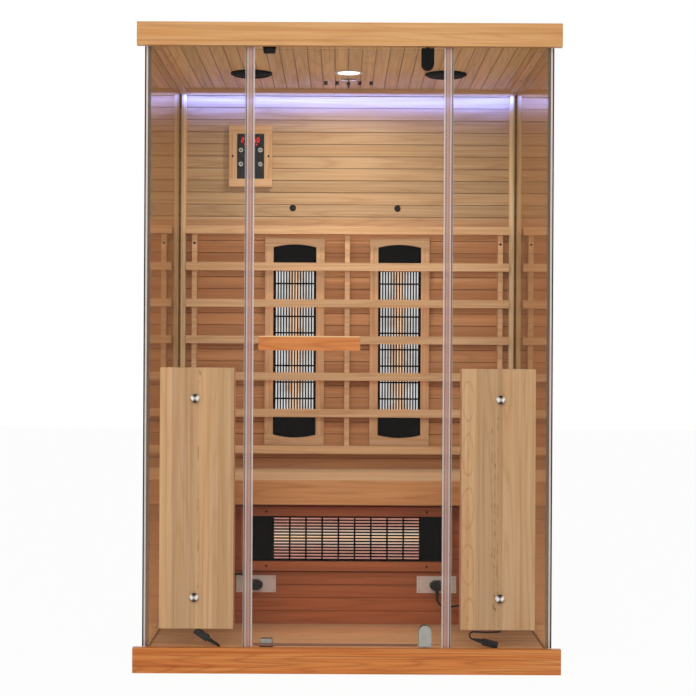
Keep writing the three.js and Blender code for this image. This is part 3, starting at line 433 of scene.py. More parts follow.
def along_grain(f, xyz, grain, mask, turn_to):
    """Coordinates whose first axis runs along the grain, which turns where the mask is one."""
    def along(axis):
        return f.add("CombineXYZ", *(xyz[i] for i in AXES[axis])).outputs[0]

    if mask is None:
        return along(grain)
    chosen = f.add("Mix", data_type="VECTOR")
    f.put(chosen.inputs[0], mask)
    f.put(chosen.inputs[4], along(grain))
    f.put(chosen.inputs[5], along(turn_to))
    return chosen.outputs[1]


def lay_boards(f, xyz, boards, seed):
    """A chance value for each board, and the distance to its nearest joint."""
    axis, pitch, start = boards
    steps = f.math("DIVIDE", f.math("SUBTRACT", xyz[axis], start), pitch)
    to_joint = f.math("MULTIPLY", f.math("PINGPONG", steps, 0.5), pitch)
    chance = f.add("TexWhiteNoise", noise_dimensions="1D")
    f.put(chance.inputs["W"], f.math("ADD", f.math("FLOOR", steps), 0.37 + seed))
    return chance.outputs["Value"], to_joint


# %% [markdown]
# Single marks make a board look real: a few knots, dark streaks of resin up the pine of the front
# heaters, and the row of lens-shaped rings in one of its staves. Each helper takes the colour so far
# and gives it back with its mark.

# %% Knots, streaks and figure
KNOT, STREAK, SEAM, PAINTED_HIGHLIGHT = rgb("7a4a24"), rgb("6e3f1e"), rgb("4a2a14"), rgb("f3d0a2")


def with_knots(f, colour, vector, share):
    """Knots in a share of the cells of a stretched pattern."""
    cells = f.add("TexVoronoi", voronoi_dimensions="3D")
    f.put(cells.inputs["Vector"], f.stretch(vector, (3.0, 13, 13)))
    f.put(cells.inputs["Scale"], 1.0)
    lot = f.add("SeparateColor", cells.outputs["Color"]).outputs[0]
    rare = f.math("GREATER_THAN", lot, 1 - share)
    spot = f.spread(cells.outputs["Distance"], 0.05, 0.16, 1.0, 0.0)
    return f.mix(f.math("MULTIPLY", f.math("MULTIPLY", spot, rare), 0.85), colour, KNOT)


def with_streak(f, colour, xyz, x, half, low_z, high_z):
    """A broken dark streak, which wanders a few millimetres."""
    wander = f.math("MULTIPLY_ADD", f.noise(f.stretch(f.place(), (0, 0, 9)), 1.0), 0.006, x - 0.003)
    off = f.math("ABSOLUTE", f.math("SUBTRACT", xyz[0], wander))
    near = f.spread(off, half * 0.5, half, 1.0, 0.0)
    above, under = f.math("GREATER_THAN", xyz[2], low_z), f.math("LESS_THAN", xyz[2], high_z)
    broken = f.spread(f.noise(f.stretch(f.place(), (90, 0, 60)), 1.0, 3.0), 0.46, 0.62, 0.03, 0.6)
    near = f.math("MULTIPLY", f.math("MULTIPLY", near, f.math("MULTIPLY", above, under)), broken)
    return f.mix(near, colour, STREAK)


def with_figure(f, colour, xyz, dark, x, half, length):
    """A row of lens-shaped rings up a stave."""
    wide = f.math("DIVIDE", f.math("SUBTRACT", xyz[0], x), half)
    tall = f.math("MULTIPLY", f.math("PINGPONG", f.math("DIVIDE", xyz[2], length), 0.5), 2.2)
    reach = f.math("SQRT", f.math("ADD", f.math("POWER", wide, 2.0), f.math("POWER", tall, 2.0)))
    reach = f.math("MULTIPLY_ADD", f.noise(f.stretch(f.place(), (40, 40, 7)), 1.0, 2.0), 0.7, reach)
    ridge = f.spread(f.math("PINGPONG", f.math("MULTIPLY", reach, 1.3), 0.5), 0.4, 0.5)
    on_stave = f.spread(f.math("ABSOLUTE", wide), 0.95, 1.1, 0.5, 0.0)
    return f.mix(f.math("MULTIPLY", ridge, on_stave), colour, dark)


# %% [markdown]
# The recipe puts these together. Wood that is one colour with noise over it looks like paper, so three
# tones are mixed at four scales, each pattern stretched along the grain, and the rings and fibres
# also give the surface a slight relief.

# %% Planed wood
FIBRE, BANDS, LINES, SLOW = (4, 260, 260), (1.3, 70, 70), (0.9, 150, 150), (0.5, 11, 11)


def wood(name, light, mid, dark, grain="X", boards=None, turned=(), turn_to="Z", rings=0.35,
         ring_count=15.0, lines=0.4, tone=0.1, knots=0.0, rough=0.5, seed=0.0, below=None,
         staves=(), marks=(), figure=None, joint=0.62, rim=None):
    """A planed wood.

    boards is (axis, pitch, start), and joint is how dark their joints are. turned lists boxes where
    the grain turns. below is (height, light, mid) for boards that are redder under that height.
    staves lists (x, tone) of glued staves, marks lists streaks as (x, half width, low z, high z),
    and figure is (x, half width, length) of a row of rings. rim is the height above which the top
    edge is painted pale, a painted highlight where the light from above catches it.
    """
    f = Finish(name)
    xyz = f.add("SeparateXYZ", f.place()).outputs
    mask = inside_boxes(f, xyz, turned)
    vector = along_grain(f, xyz, grain, mask, turn_to)
    if boards:
        odds, to_joint = lay_boards(f, xyz, boards, seed)
    else:
        odds = 0.5 if mask is None else f.math("MULTIPLY_ADD", mask, 0.3, 0.35)
    for edge, step in staves:
        odds = f.math("MULTIPLY_ADD", f.math("GREATER_THAN", xyz[0], edge), step, odds)
    shift = f.add("CombineXYZ", f.math("MULTIPLY", odds, 7.3), f.math("MULTIPLY", odds, 3.1), seed)
    vector = f.add("VectorMath", vector, shift.outputs[0], operation="ADD").outputs[0]

    fibre = f.noise(f.stretch(vector, FIBRE), 1.0, 5.0, 0.65)
    band = f.noise(f.stretch(vector, BANDS), 1.0, 3.0, 0.55)
    line = f.spread(f.noise(f.stretch(vector, LINES), 1.0, 3.0, 0.6), 0.52, 0.68)
    slow = f.noise(f.stretch(vector, SLOW), 1.0, 2.0, 0.4, 0.15)
    ring = f.math("PINGPONG", f.math("MULTIPLY", slow, ring_count), 0.5)
    ring = f.math("POWER", f.spread(ring, 0.1, 0.5), 3.0)
    if below:
        height, low_light, low_mid = below
        under = f.spread(xyz[2], height - 0.04, height + 0.04, 1.0, 0.0)
        light, mid = f.mix(under, light, low_light), f.mix(under, mid, low_mid)

    blend = f.math("MULTIPLY_ADD", fibre, 0.45, f.math("MULTIPLY", band, 0.55))
    colour = f.mix(f.spread(blend, 0.39, 0.61), light, mid)
    colour = f.mix(f.math("MULTIPLY", line, lines), colour, dark)
    colour = f.mix(f.math("MULTIPLY", ring, rings), colour, dark)
    if knots:
        colour = with_knots(f, colour, vector, knots)
    for mark in marks:
        colour = with_streak(f, colour, xyz, *mark)
    if figure:
        colour = with_figure(f, colour, xyz, dark, *figure)
    level = f.math("MULTIPLY_ADD", odds, 2 * tone, 1 - tone)
    shade = f.add("CombineColor", level, level, level).outputs[0]
    colour = f.mix(1.0, colour, shade, "MULTIPLY")
    if boards:
        colour = f.mix(f.spread(to_joint, 0.0004, 0.0022, joint, 0.0), colour, SEAM)
    # painted highlight: above the rim height the wood is painted pale, where light from above catches the top
    # edge
    if rim:
        colour = f.mix(f.spread(xyz[2], rim, rim + 0.002, 0.0, 0.8), colour, PAINTED_HIGHLIGHT)
    return f.surface(f.principled(
        Base_Color=colour,
        Roughness=f.spread(fibre, 0.2, 0.8, rough - 0.08, rough + 0.12),
        Specular_IOR_Level=0.35,
        Normal=f.bump(f.math("MULTIPLY_ADD", ring, -0.4, fibre), 0.14, 0.0006),
    ))


# %% [markdown]
# The cabin mixes several woods: pale boards on the wall, warmer ones behind the backrest, reddish ones
# under the seat, an orange base, and streaked pine for the front heaters. Three tones of each, light,
# middle and dark, feed the same recipe. Board pitches and starts are those of the grooves in the CAD.

# %% Woods of the cabin
HEMLOCK = (rgb("e3bd95"), rgb("d5a97e"), rgb("ad794a"))
TRIM = (rgb("f2d8ae"), rgb("e5c496"), rgb("bd9361"))
WALL = (rgb("cbac88"), rgb("be9b73"), rgb("9a6f47"))
CEILING = (rgb("e8c797"), rgb("dcb580"), rgb("b0804c"))
SEAT = (rgb("ecd2ad"), rgb("debd95"), rgb("b98a5c"))
ROSY = (rgb("b86c42"), rgb("a85d36"), rgb("7e3f1f"))
APRON = (rgb("da9d68"), rgb("cd8b54"), rgb("a8672f"))
PINE = (rgb("e1b990"), rgb("d7a978"), rgb("b07a48"))
BASE = (rgb("dd9553"), rgb("c66c2a"), rgb("924618"))
ROOF = (rgb("d6a571"), rgb("c89055"), rgb("9f6131"))
ORANGE = (rgb("d1874e"), rgb("c57639"), rgb("9c5424"))
BOARD = 0.042  # pitch of the narrow boards
SIDE_BEAMS = [((-1, -0.4899, -1), (1, 0.471, 3))]
UPRIGHTS = [((-1, 0.4201, 0), (1, 1, 2))]

beam_wood = wood("beam wood", *BASE, turned=SIDE_BEAMS, turn_to="Y", rings=0.42, ring_count=34.0,
                 lines=0.75, rough=0.4)
roof_wood = wood("roof beam wood", *ROOF, turned=SIDE_BEAMS, turn_to="Y", rings=0.22, lines=0.5,
                 rough=0.42, knots=0.03, seed=2.0)
wall_wood = wood("wall boards", *WALL, boards=(2, BOARD, 0.064), joint=0.5,
                 below=(1.37, rgb("c99468"), rgb("bb8154")))
rear_wood = wood("rear boards", *HEMLOCK, boards=(2, BOARD, 0.074), seed=3.0)
ceiling_wood = wood("ceiling boards", *CEILING, grain="Y", boards=(0, BOARD, -0.59), seed=1.0)
floor_wood = wood("floor boards", *HEMLOCK, boards=(1, 0.095, -0.4897), seed=4.0)
seat_wood = wood("seat boards", *SEAT, boards=(1, 0.092, -0.093), seed=5.0)
apron_wood = wood("apron wood", *APRON, rings=0.45, seed=6.0)
kick_wood = wood("kick boards", *ROSY, boards=(2, BOARD, 0.064), joint=0.35, seed=7.0)
slat_wood = wood("slat wood", *HEMLOCK, boards=(2, 0.1263, 0.537), tone=0.06, seed=8.0, joint=0.0,
                 turned=UPRIGHTS)
back_frame_wood = wood("back frame wood", *HEMLOCK, grain="Z", seed=9.0, turn_to="X",
                       turned=[((-1, 0, 1.3012), (1, 1, 2)), ((-1, 0, 0), (1, 1, 0.6488))])
calf_frame_wood = wood("calf frame wood", *ROSY, seed=10.0,
                       turned=[((-1, -1, 0), (-0.313, 1, 1)), ((0.313, -1, 0), (1, 1, 1))])
control_frame_wood = wood("control frame wood", *HEMLOCK, grain="Z", seed=11.0, turn_to="X",
                          turned=[((-1, 0, 1.694), (1, 1, 2)), ((-1, 0, 0), (1, 1, 1.538))])
left_staves = wood("left pine staves", *PINE, grain="Z", rings=0.2, tone=0.13, seed=12.0,
                   staves=[(-1, 0.35), (-0.518, -0.7), (-0.444, 0.6), (-0.395, -0.5)],
                   marks=[(-0.4387, 0.002, 0.24, 0.66), (-0.436, 0.006, 0.847, 0.9)])
right_staves = wood("right pine staves", *PINE, grain="Z", rings=0.3, tone=0.13, seed=17.0,
                    staves=[(0.3, 0.15), (0.3777, -0.7), (0.4554, 0.45)],
                    marks=[(0.424, 0.002, 0.3, 0.72), (0.433, 0.0024, 0.14, 0.64),
                           (0.441, 0.0018, 0.2, 0.8), (0.433, 0.008, 0.178, 0.2)],
                    figure=(0.354, 0.022, 0.16))
# rim puts a painted highlight on the handle's top edge
handle_wood = wood("handle wood", *ORANGE, rings=0.4, rough=0.38, seed=13.0, rim=0.981)
trim_wood = wood("trim wood", *TRIM, grain="Z", tone=0.0, seed=14.0)
batten_wood = wood("ceiling batten wood", *HEMLOCK, grain="Y", tone=0.0, seed=15.0)
cove_wood = wood("cove wood", *HEMLOCK, tone=0.0, seed=16.0)
WOOD_NAMES = ("wood", "boards", "staves")
print("woods:", sum(material.name.endswith(WOOD_NAMES) for material in bpy.data.materials))

# %% [markdown]
# ## Glass
# The front is clear toughened glass, and the sides are slightly bronze. A refracting glass shader would
# need thick panes and many bounces. The panes are thin, so light goes straight through them here, and
# only the Fresnel reflection and the dark cut edge show where they are. The side panes take on more
# bronze when they are seen along their face, and low down that tint turns paler and warmer, a painted
# reflection of the lit wood near the floor.

# %% Glass
GLASS_IOR = 1.5
PLAIN = (0.985, 0.985, 0.98, 1)
PALE_BRONZE, BRONZE, PAINTED_LOW_REFLECTION = (0.84, 0.8, 0.74, 1), (0.62, 0.45, 0.31, 1), (1.0, 0.74, 0.5, 1)


def glass(name, thin_axis, clear, shine, edge, along=None):
    """A pane. thin_axis is the axis of its thickness, so its other faces are cut edges. along is the
    (upper, lower) tint of a pane that is darker when it is seen along its face."""
    f = Finish(name)
    back = f.add("NewGeometry").outputs["Backfacing"]
    fresnel = f.add("Fresnel")
    f.put(fresnel.inputs["IOR"], f.math("MULTIPLY_ADD", back, 1 / GLASS_IOR - GLASS_IOR, GLASS_IOR))
    smear = f.noise(f.place(), 3.0, 3.0)
    mirror = f.add("BsdfGlossy", shine)
    f.put(mirror.inputs["Roughness"], f.spread(smear, 0.4, 0.75, 0.0, 0.03))
    through = f.add("BsdfTransparent", clear)
    if along:
        # painted reflection: low on the pane the grazing tint turns paler and warmer, for the lit wood near
        # the floor
        up = f.add("SeparateXYZ", f.place()).outputs[2]
        tint = f.mix(f.spread(up, 0.25, 0.7), along[1], along[0])
        grazing = f.spread(f.add("LayerWeight", 0.5).outputs["Facing"], 0.5, 0.88)
        f.put(through.inputs[0], f.mix(grazing, clear, tint))
    pane = f.add("MixShader", fresnel.outputs[0], through.outputs[0], mirror.outputs[0])
    side = f.add("SeparateXYZ", f.add("TexCoord").outputs["Normal"]).outputs[thin_axis]
    is_edge = f.math("LESS_THAN", f.math("ABSOLUTE", side), 0.5)
    rim = f.principled(Base_Color=edge, Roughness=0.15, Alpha=0.8)
    return f.surface(f.add("MixShader", is_edge, pane.outputs[0], rim).outputs[0])


side_glass = glass("side glass", 0, PALE_BRONZE, (0.98, 0.85, 0.7, 1), rgb("2b3230"), (BRONZE, PAINTED_LOW_REFLECTION))
front_glass = glass("front glass", 1, PLAIN, (0.14, 0.145, 0.145, 1), rgb("6b7d78"))
print("panes:", side_glass.name, "and", front_glass.name)

# %% [markdown]
# ## Plastics and metals
# Plugs, sockets and the control panel are moulded plastic, which has a fine texture and no grain. The
# guards are enamelled steel, and the sockets' screws are plated. One function for each of the two
# kinds is enough, because the rest is colour, gloss and the direction of the brush lines.

# %% Plastics and metals
def plastic(name, colour, rough, grain=900.0, depth=0.00015, tint=0.15):
    """A moulded plastic with a fine texture."""
    f = Finish(name)
    fine = f.noise(f.place(), grain, 3.0)
    cloud = f.noise(f.place(), 14.0, 3.0)
    darker = tuple(c * (1 - tint) for c in colour[:3]) + (1.0,)
    return f.surface(f.principled(
        Base_Color=f.mix(f.spread(cloud, 0.3, 0.7), colour, darker),
        Roughness=f.spread(fine, 0.3, 0.7, rough - 0.06, rough + 0.08),
        Normal=f.bump(fine, 0.25, depth),
    ))


def metal(name, colour, rough, brushed=(600, 600, 600), metallic=1.0):
    """A metal with fine brush lines or a cast texture, or an enamel where metallic is zero."""
    f = Finish(name)
    fine = f.noise(f.stretch(f.place(), brushed), 1.0, 3.0)
    stain = f.noise(f.place(), 30.0, 4.0)
    worn = tuple(c * 0.82 for c in colour[:3]) + (1.0,)
    return f.surface(f.principled(
        Base_Color=f.mix(f.spread(stain, 0.35, 0.7), colour, worn),
        Metallic=metallic,
        Specular_IOR_Level=0.5 if metallic else 0.08,
        Roughness=f.spread(fine, 0.25, 0.75, rough - 0.06, rough + 0.12),
        Normal=f.bump(fine, 0.12, 0.0001),
    ))


black_plastic = plastic("black plastic", rgb("121213"), 0.45)
cord_rubber = plastic("cord rubber", rgb("171718"), 0.5, 1500.0)
white_plastic = plastic("socket plastic", rgb("dccbc2"), 0.35, 1200.0, 0.00005, 0.06)
facia = plastic("control facia", rgb("0e0f11"), 0.22, 1500.0, 0.00003)
sweep_plastic = plastic("door sweep", rgb("8d6658"), 0.4, 700.0)
black_enamel = metal("black enamel", rgb("131314"), 0.5, metallic=0.0)
guard_black = metal("guard enamel", rgb("060505"), 0.7, metallic=0.0)
dark_screw = metal("dark screw", rgb("120f0d"), 0.6, metallic=0.0)
# the dark sheet in the vents is painted shade, for the shade inside the slots
vent_painted_shade = metal("vent painted shade", rgb("2a190f"), 0.7, metallic=0.0)
satin_steel = metal("satin steel", rgb("a9a7a0"), 0.32, (40, 900, 40))
box_steel = metal("power box steel", rgb("9a9a98"), 0.4, (300, 8, 300))
zinc = metal("zinc screw", rgb("b9b6ae"), 0.3)
print("plastics and metals ready:", len(bpy.data.materials), "materials so far")

# %% [markdown]
# The bolts through the glass are polished. A perfect mirror would show this plain studio as one even
# white, so a painted reflection of a photographer's studio is put in each bolt's colour: bright sides,
# and a dark top and floor. The probe, away from the bolts, gets a painted reflection band, dark and
# bright by the tilt of its surface.

# %% Polished steel
BOLT_X, BOLT_Z = 0.448, (0.801, 0.218)
BOLT_REACH = 0.0105


def polished():
    """Polished steel with a painted reflection: bright sides and a dark top and floor in each bolt."""
    f = Finish("polished steel")
    xyz = f.add("SeparateXYZ", f.place()).outputs
    wide = f.math("ABSOLUTE", f.math("SUBTRACT", f.math("ABSOLUTE", xyz[0]), BOLT_X))
    tall = f.math("MINIMUM", *(f.math("ABSOLUTE", f.math("SUBTRACT", xyz[2], z)) for z in BOLT_Z))
    # painted reflection: bright at the bolt's sides, dark at its top and floor, by place on the bolt
    painted_reflection_lobe = f.spread(f.math("SUBTRACT", wide, tall), -0.005, 0.006)
    painted_reflection_colour = f.mix(painted_reflection_lobe, rgb("33261e"), rgb("fffaf2"))
    on_bolt = f.math("LESS_THAN", f.math("MAXIMUM", wide, tall), BOLT_REACH)
    # painted reflection band, dark and bright by the tilt of the surface, on chrome away from the bolts
    tilt = f.add("SeparateXYZ", f.add("TexCoord").outputs["Normal"]).outputs[2]
    band = f.spread(f.math("SINE", f.math("MULTIPLY_ADD", tilt, 5.0, 0.8)), -0.4, 0.6)
    fine = f.noise(f.place(), 700.0, 3.0)
    return f.surface(f.principled(
        Base_Color=f.mix(on_bolt, f.mix(band, rgb("3a3530"), rgb("f6f6f4")), painted_reflection_colour),
        Metallic=f.spread(on_bolt, 0.0, 1.0, 1.0, 0.4),
        Roughness=f.spread(fine, 0.3, 0.7, 0.08, 0.2),
    ))


chrome = polished()
print("polished:", chrome.name)

# %% [markdown]
# ## Heater tubes
# The tubes are unglazed ceramic and glow faintly. A lamp inside each would cost time and noise, and
# the lamps in front of the heaters already light the cabin, so a little emission is enough.

# %% Heater ceramic
def ceramic():
    """An unglazed heater tube with a faint glow."""
    f = Finish("heater ceramic")
    grains = f.noise(f.place(), 260.0, 4.0)
    return f.surface(f.principled(
        Base_Color=f.mix(grains, rgb("efd7b8"), rgb("d9a878")),
        Roughness=0.75,
        Normal=f.bump(grains, 0.3, 0.0004),
        Emission_Color=rgb("ffcfa6"),
        Emission_Strength=0.8,
    ))


heater_ceramic = ceramic()
print("tube:", heater_ceramic.name)

# %% [markdown]
# ## Door seals
# The seals beside the door are clear PVC with pale and pink lines, where the light catches their lips.
# The lips could be modelled, but the lines are only a few millimetres wide, so a colour ramp across
# the strip draws them.

# %% Seal strip
SEAL_INNER, SEAL_OUTER = 0.278, 0.306
SEAL_LINES = [(0.0, "f2eceb"), (0.1, "e6dad7"), (0.18, "8f7872"), (0.34, "c9a79d"), (0.58, "b58d82"),
              (0.74, "e9dedb"), (0.86, "7d706e"), (1.0, "d9cfcd")]


def seal_strip():
    """Soft clear PVC with lines along it, by the distance from the door's middle."""
    f = Finish("seal strip")
    x = f.math("ABSOLUTE", f.add("SeparateXYZ", f.place()).outputs[0])
    ramp = f.add("ValToRGB", f.spread(x, SEAL_INNER, SEAL_OUTER))
    stops = ramp.color_ramp.elements
    while len(stops) < len(SEAL_LINES):
        stops.new(0.5)
    for stop, (at, code) in zip(stops, SEAL_LINES):
        stop.position = at
        stop.color = rgb(code)
    haze = f.noise(f.stretch(f.place(), (400, 400, 6)), 1.0, 2.0)
    skin = f.principled(
        Base_Color=ramp.outputs[0],
        Roughness=f.spread(haze, 0.3, 0.7, 0.2, 0.32),
        Normal=f.bump(haze, 0.1, 0.0003),
    )
    clear = f.add("BsdfTransparent", (0.97, 0.93, 0.92, 1)).outputs[0]
    return f.surface(f.add("MixShader", 0.55, clear, skin).outputs[0])


seal_plastic = seal_strip()
print("seal:", seal_plastic.name, "with", len(SEAL_LINES), "lines")

# %% [markdown]
# ## Glowing faces
# The display and the strip in the cove give light. A plain emission would look like a flat cut-out, so
# its strength changes a little from spot to spot.

# %% Display and cove strip
def glow(name, colour, strength, spots):
    """A light-giving face, weaker in spots."""
    f = Finish(name)
    flicker = f.noise(f.place(), 60.0, 2.0)
    level = f.spread(flicker, 0.3, 0.7, strength * (1 - spots), strength)
    return f.surface(f.add("Emission", colour, level).outputs[0])


red_glow = glow("display red", rgb("ff2a1c"), 2.2, 0.1)
violet_glow = glow("cove strip", rgb("dcd8ff"), 1.1, 0.15)
print("materials:", len(bpy.data.materials))

# %% [markdown]
# ## Dressing the CAD
# The CAD's solids have sharp edges and one plain colour each. They could be modelled again, but a node
# whose shape is right keeps it: it gets a finish and, where an edge would be eased on the real piece,
# a live bevel.

# %% Dress the CAD nodes
HEATERS = ["calf_heater", *(f"{spot}_heater_{side}" for spot in ("back", "front") for side, _ in SIDES)]


def pair(stem):
    """The left and the right node of a stem."""
    return [f"{stem}_{side}" for side, _ in SIDES]


def dress(material, edge, *names):
    """Gives CAD nodes a finish and eased edges."""
    for name in names:
        obj = nodes[name]
        obj.data.materials.clear()
        obj.data.materials.append(material)
        if edge:
            bevel = obj.modifiers.new("eased edges", "BEVEL")
            bevel.width = edge
            bevel.segments = 2
            bevel.limit_method = "ANGLE"
            bevel.angle_limit = math.radians(40)


dress(beam_wood, 0.0025, "base_frame")
dress(roof_wood, 0.0025, "roof_frame")
dress(wall_wood, 0, "back_wall_boards")
dress(rear_wood, 0, "back_wall_cover", "roof_cover")
dress(ceiling_wood, 0, "ceiling_panel")
dress(floor_wood, 0, "floor_panel")
dress(seat_wood, 0.0012, "bench_seat")
dress(apron_wood, 0.003, "bench_apron")
dress(kick_wood, 0, "kick_panel")
dress(slat_wood, 0.002, "backrest_rack")
dress(back_frame_wood, 0.0015, "back_heater_left_frame", "back_heater_right_frame")
dress(calf_frame_wood, 0.0015, "calf_heater_frame")
dress(control_frame_wood, 0.0015, "control_frame")
dress(left_staves, 0.002, "front_heater_left_box")
dress(right_staves, 0.002, "front_heater_right_box")
dress(handle_wood, 0.0035, "door_handle_outer", "door_handle_inner")
dress(cove_wood, 0.0015, "light_cove")
dress(box_steel, 0.001, "power_box")
dress(facia, 0.0008, "control_panel")
dress(black_enamel, 0.002, "door_pivot_top")
dress(satin_steel, 0.002, "door_pivot_bottom")
dress(guard_black, 0, *(f"{heater}_case" for heater in HEATERS))
dress(heater_ceramic, 0, *(f"{heater}_tube" for heater in HEATERS))
dress(white_plastic, 0.0008, *pair("socket_plate"))
dress(black_plastic, 0.0009, *pair("plug"), *pair("lead_connector"))
dress(front_glass, 0, "door_glass", *pair("front_glass"))
dress(side_glass, 0, *pair("side_glass"))
dress(seal_plastic, 0.001, *pair("door_seal"))
for cord in cords:
    cord.data.materials.append(cord_rubber)
print("nodes with eased edges:", sum(len(obj.modifiers) > 0 for obj in nodes.values()))

# %% [markdown]
# ## Speakers
# Each speaker has a black grille with rows of small holes. They could be cut into the mesh, but holes
# of three millimetres cost thousands of faces, so a pattern of cells draws them, within a circle around
# the speaker's middle.

# %% Speaker grilles
GRILLE_RADIUS = 0.056


def from_middle(f, name, axes):
    """Distance from the middle of a node, in the plane of two axes."""
    centre = middle(name)
    xyz = f.add("SeparateXYZ", f.place()).outputs
    squares = [f.math("POWER", f.math("SUBTRACT", xyz[axis], centre[axis]), 2.0) for axis in axes]
    return f.math("SQRT", f.math("ADD", *squares))


def speaker_grille(name):
    """A black sheet with rows of small holes."""
    f = Finish(name + " grille")
    holes = f.add("TexVoronoi", feature="F1")
    f.put(holes.inputs["Vector"], f.stretch(f.place(), (230, 230, 0)))
    f.put(holes.inputs["Scale"], 1.0)
    f.put(holes.inputs["Randomness"], 0.0)
    hole = f.spread(holes.outputs["Distance"], 0.25, 0.4, 1.0, 0.0)
    hole = f.math("MULTIPLY", hole, f.math("LESS_THAN", from_middle(f, name, (0, 1)), GRILLE_RADIUS))
    return f.surface(f.principled(
        Base_Color=f.mix(hole, rgb("070707"), rgb("010101")),
        Specular_IOR_Level=0.04,
        Roughness=f.spread(hole, 0, 1, 0.6, 0.9),
        Normal=f.bump(f.math("SUBTRACT", 1.0, hole), 0.6, 0.0008),
    ))


for name in pair("speaker"):
    dress(speaker_grille(name), 0.0008, name)
    print(name, "around", tuple(middle(name)))

# %% [markdown]
# ## Ceiling lamp
# The lamp has a white rim around a rippled lens that shines. The CAD has it as one disc, and the
# distance from its middle tells the lens from the rim.

# %% Lamp lens
LENS_RADIUS = 0.0345


def lamp_lens(name):
    """A white rim around a rippled lens that shines."""
    f = Finish(name + " lens")
    radius = from_middle(f, name, (0, 1))
    lens = f.math("LESS_THAN", radius, LENS_RADIUS)
    ripple = f.math("SINE", f.math("MULTIPLY", radius, 1800.0))
    face = f.principled(
        Base_Color=f.mix(lens, rgb("d9d3cc"), rgb("ffffff")),
        Roughness=f.spread(ripple, -1, 1, 0.25, 0.35),
        Normal=f.bump(ripple, 0.1, 0.0002),
    )
    shine = f.add("Emission", rgb("fff6ea"), 6.0).outputs[0]
    return f.surface(f.add("MixShader", lens, face, shine).outputs[0])


dress(lamp_lens("ceiling_light"), 0.0008, "ceiling_light")
print("lens radius:", LENS_RADIUS, "m")

# %% [markdown]
# ## Buttons
# The six buttons are black caps with a printed ring and a dot. Print has no thickness, so it is a
# colour on the cap and not a piece.

# %% Button caps
RING_INNER, RING_OUTER, DOT = 0.0048, 0.007, 0.0014


def button_cap(name):
    """A black cap with a pale ring and a dot."""
    f = Finish(name + " cap")
    radius = from_middle(f, name, (0, 2))
    outside, within = f.math("GREATER_THAN", radius, RING_INNER), f.math("LESS_THAN", radius, RING_OUTER)
    mark = f.math("MAXIMUM", f.math("MULTIPLY", outside, within), f.math("LESS_THAN", radius, DOT))
    fine = f.noise(f.place(), 1500.0, 2.0)
    return f.surface(f.principled(
        Base_Color=f.mix(mark, rgb("0b0b0c"), rgb("f7f7f4")),
        Roughness=f.spread(fine, 0.3, 0.7, 0.25, 0.4),
        Normal=f.bump(fine, 0.1, 0.00005),
    ))


buttons = [name for name in nodes if name.startswith("button_")]
for name in buttons:
    dress(button_cap(name), 0.0006, name)
print("buttons:", len(buttons))

# %% [markdown]
# ## Blocks
# Strips, bars and catches are blocks. A bare cube has edges that no saw leaves, so each block is
# stretched in edit mode, and its edges are bevelled there.

# %% Blocks
SMOOTH_ANGLE = math.radians(35)


def settle(obj, name, material):
    """Puts a piece's place in its mesh and gives it its finish."""
    bpy.ops.object.transform_apply(location=True, rotation=True, scale=True)
    bpy.ops.object.shade_smooth_by_angle(angle=SMOOTH_ANGLE)
    obj.name = obj.data.name = name
    obj.data.materials.clear()
    obj.data.materials.append(material)
    return obj


def start_block(low, high):
    """A cube stretched between two corners, left in edit mode with everything selected."""
    low, high = Vector(low), Vector(high)
    bpy.ops.object.select_all(action="DESELECT")
    bpy.ops.mesh.primitive_cube_add(size=1, location=(low + high) / 2)
    bpy.ops.object.mode_set(mode="EDIT")
    bpy.ops.mesh.select_all(action="SELECT")
    bpy.ops.transform.resize(value=high - low)
    return bpy.context.object


def block(name, low, high, edge, material, segments=2):
    """A bevelled block between two corners."""
    obj = start_block(low, high)
    bpy.ops.mesh.bevel(offset=edge, segments=segments, affect="EDGES")
    bpy.ops.object.mode_set(mode="OBJECT")
    return settle(obj, name, material)


print("edges over", round(math.degrees(SMOOTH_ANGLE)), "degrees stay sharp")

# %% [markdown]
# ## Turned pieces
# Screws, studs, bolts and wires are round. They could be spun from an outline, but then their poles
# have to be merged, so each grows ring by ring from a disc, as on a lathe.

# %% Turned pieces
HEADINGS = {"-Z": (math.pi, 0, 0), "+Z": (0, 0, 0), "-Y": (math.pi / 2, 0, 0), "+Y": (-math.pi / 2, 0, 0),
            "+X": (0, math.pi / 2, 0)}


def turned(name, centre, heading, profile, material, sides=32):
    """A turned piece: (radius, height) rings that grow from a disc along its heading."""
    bpy.ops.object.select_all(action="DESELECT")
    radius, level = profile[0]
    bpy.ops.mesh.primitive_circle_add(vertices=sides, radius=radius, fill_type="NGON")
    obj = bpy.context.object
    bpy.ops.object.mode_set(mode="EDIT")
    bpy.ops.mesh.select_all(action="SELECT")
    bpy.ops.transform.translate(value=(0, 0, level))
    for next_radius, next_level in profile[1:]:
        bpy.ops.mesh.extrude_region_move(TRANSFORM_OT_translate={"value": (0, 0, next_level - level)})
        factor = next_radius / radius
        bpy.ops.transform.resize(value=(factor, factor, 1))
        radius, level = next_radius, next_level
    bpy.ops.mesh.select_all(action="SELECT")
    bpy.ops.mesh.normals_make_consistent(inside=False)
    bpy.ops.object.mode_set(mode="OBJECT")
    obj.rotation_euler = HEADINGS[heading]
    obj.location = centre
    return settle(obj, name, material)


print("headings:", ", ".join(HEADINGS))

# %% [markdown]
# ## Copies
# Most fittings are repeated. Each is modelled once and copied, so a change to the model reaches every
# copy. Copies could share one mesh, but here each has its own, with its place in it.

# %% Fixing and copying
def fix(obj, body="cabin"):
    """The piece rides on a body."""
    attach(obj, body)


